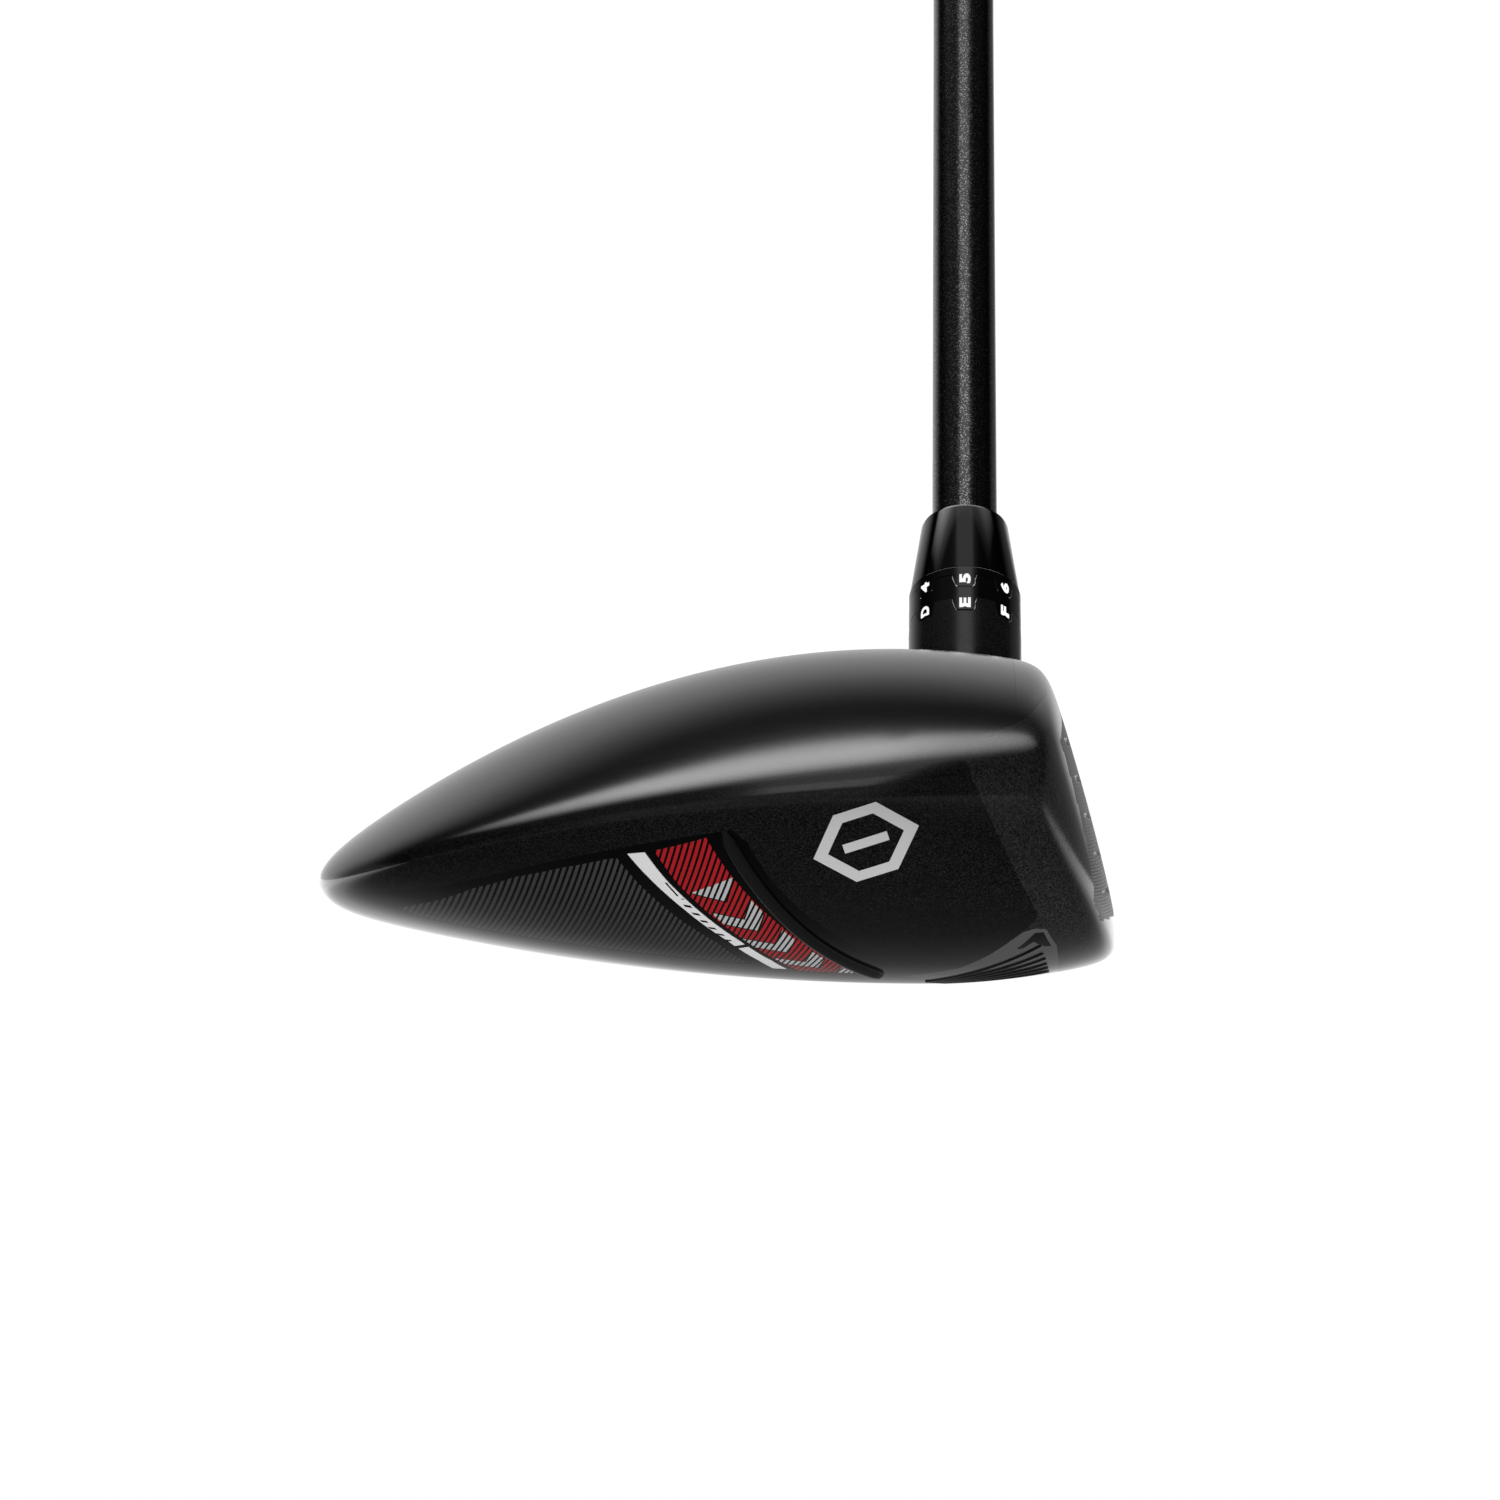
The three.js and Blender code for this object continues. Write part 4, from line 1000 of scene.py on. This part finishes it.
outer_line = [(SHAFT["tip_radius"], SHAFT["tip"]), (SHAFT["tip_radius"], FERRULE["top"])]
outer_line += [(shaft_radius(z), z) for z in np.linspace(SHAFT["taper_from"], SHAFT["taper_to"], 12)]
outer_line.append((SHAFT["butt_radius"], SHAFT["butt"]))
shaft_bm = turned(outer_line + [(r - SHAFT["wall"], z) for r, z in reversed(outer_line)], 96)
# Black paint with metal flake under clear coat: points of light, dense where a light is mirrored.
# Real flake is 0.05 mm; it is drawn at 0.12 mm so that it shows.
shaft_paint, shaft_shader = finish("flake paint and clear coat on carbon fibre", "060607", 0.3,
                                   Coat_Weight=0.6, Coat_Roughness=0.14)
tree = shaft_paint.node_tree
place = add_node(tree, "ShaderNodeTexCoord").outputs["Object"]
grains = add_node(tree, "ShaderNodeTexVoronoi", Vector=place, Scale=1 / (0.12 * MM))
chance = add_node(tree, "ShaderNodeSeparateColor", Color=grains.outputs["Color"])
flake = formula(tree, chance.outputs["Red"], ("GREATER_THAN", 0.84))
painted(tree, shaft_shader, [(flake, "9a9a9c")], "060607")
tree.links.new(flake, shaft_shader.inputs["Metallic"])
glint = add_node(tree, "ShaderNodeMapRange", Value=chance.outputs["Green"], To_Min=0.12, To_Max=0.3)
tree.links.new(glint.outputs["Result"], shaft_shader.inputs["Roughness"])
shaft = shown("wound_shaft", on_axis(shaft_bm), shaft_paint)
shaft.visible_glossy = False
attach(shaft, "shaft_assembly")
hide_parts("shaft")


# ---- grip ----------------------------------------------------------------------------------------
# A tapered sleeve of black rubber, moulded with rows of small diamonds between plain bands, slid
# over double-sided tape, with a cap moulded into its end.
GRIP_MOUTH = CLUB_LENGTH - 268
grip_line = [(shaft_radius(GRIP_MOUTH) + 0.7, GRIP_MOUTH), (8.7, GRIP_MOUTH), (9.0, GRIP_MOUTH + 0.4),
             (9.2, GRIP_MOUTH + 2)]
grip_line += [(9.2 + 2.1 * t, GRIP_MOUTH + 2 + 156 * t) for t in np.linspace(0.05, 1, 12)]
grip_line += [(12.6, CLUB_LENGTH - 40), (13.2, CLUB_LENGTH - 8), (13.2, CLUB_LENGTH - 3),
              (12.9, CLUB_LENGTH - 1.6), (12.2, CLUB_LENGTH - 0.9), (10.2, CLUB_LENGTH), (4.5, CLUB_LENGTH),
              (4.5, SHAFT["butt"] + 0.3), (8.3, SHAFT["butt"] + 0.3), (8.3, SHAFT["taper_to"])]
grip_bm = turned(grip_line, 96)
# Moulded black rubber: dull, with small diamonds in bands 44 mm apart that catch soft light.
rubber, rubber_shader = finish("moulded black rubber", "1a1a1b", 0.72)
tree = rubber.node_tree
place = add_node(tree, "ShaderNodeTexCoord").outputs["Object"]
local = add_node(tree, "ShaderNodeMapping", {"vector_type": "TEXTURE"}, Vector=place,
                 Location=tuple(Vector(AXIS_FOOT) * MM), Rotation=(LIE - math.pi / 2, 0, 0))
split = add_node(tree, "ShaderNodeSeparateXYZ", Vector=local.outputs["Vector"])
turn = add_node(tree, "ShaderNodeMath", {"operation": "ARCTAN2"}, i0=split.outputs["Y"],
                i1=split.outputs["X"])
rows = formula(tree, turn.outputs[0], ("MULTIPLY", 24 / (2 * math.pi)))
height = formula(tree, split.outputs["Z"], ("DIVIDE", 3.2 * MM))
rise = formula(tree, rows, ("ADD", height), ("PINGPONG", 0.5))
fall = formula(tree, rows, ("SUBTRACT", height), ("PINGPONG", 0.5))
studs = formula(tree, rise, ("MULTIPLY", fall), ("MULTIPLY", 4), ("MINIMUM", 0.5))
bands = formula(tree, split.outputs["Z"], ("DIVIDE", 44 * MM), ("FLOORED_MODULO", 1.0),
                ("GREATER_THAN", 0.16))
relief = formula(tree, studs, ("MULTIPLY", bands))
bump = add_node(tree, "ShaderNodeBump", Height=relief, Strength=0.9, Distance=0.6 * MM)
tree.links.new(bump.outputs["Normal"], rubber_shader.inputs["Normal"])
shade = add_node(tree, "ShaderNodeMapRange", Value=relief, To_Min=0.62, To_Max=0.85)
tree.links.new(shade.outputs["Result"], rubber_shader.inputs["Roughness"])
grip = shown("moulded_grip", on_axis(grip_bm), rubber)
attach(grip, "shaft_assembly")
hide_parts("grip")


# ---- kept pieces: tape, caps, plugs, washers, screw, weights ---------------------------------------
# Small turned and moulded parts whose plain shape is right, each in its own material.
def grained(name, colour, roughness, metallic, grain, relief):
    """A plain material with a fine noise grain of a real size in mm."""
    material, shader = finish(name, colour, roughness, metallic)
    tree = material.node_tree
    place = add_node(tree, "ShaderNodeTexCoord").outputs["Object"]
    noise = add_node(tree, "ShaderNodeTexNoise", Vector=place, Scale=1 / (grain * MM), Detail=3)
    shade = add_node(tree, "ShaderNodeMapRange", Value=noise.outputs["Fac"], To_Min=roughness - 0.08,
                     To_Max=roughness + 0.1)
    tree.links.new(shade.outputs["Result"], shader.inputs["Roughness"])
    bump = add_node(tree, "ShaderNodeBump", Height=noise.outputs["Fac"], Strength=relief, Distance=0.05 * MM)
    tree.links.new(bump.outputs["Normal"], shader.inputs["Normal"])
    return material


# Pale, papery tape; dull dark rubber; brown end grain; bright zinc; dark oiled oxide; creamy nylon;
# dull grey tungsten; matt black nitrile; and soft grey blasted steel.
KEPT = {
    "grip_tape": grained("double-sided paper tape", "d8cfb8", 0.8, 0, 0.5, 0.3),
    "grip_cap": grained("moulded hard rubber", "202022", 0.55, 0, 0.3, 0.15),
    "shaft_tip_plug": grained("turned beech plug", "8a6a4a", 0.7, 0, 0.6, 0.3),
    "hosel_screw_washer": grained("zinc plated steel washer", "a9a9ad", 0.38, 1, 0.4, 0.1),
    "hosel_screw": grained("black oxide steel screw", "4a4a4d", 0.4, 0.9, 0.3, 0.1),
    "screw_retainer": grained("natural nylon retainer", "dad7cc", 0.55, 0, 0.5, 0.1),
    "internal_weight_bar": grained("cast tungsten bar", "6c6c70", 0.5, 0.9, 0.5, 0.2),
    "rear_weight_washer": grained("black nitrile washer", "1c1c1d", 0.7, 0, 0.3, 0.1),
    "rear_weight": grained("turned and bead-blasted steel weight", "8d8d90", 0.36, 0.9, 0.2, 0.15),
}
for node_name, material in KEPT.items():
    for slot in bpy.data.objects[node_name].material_slots:
        slot.material = material
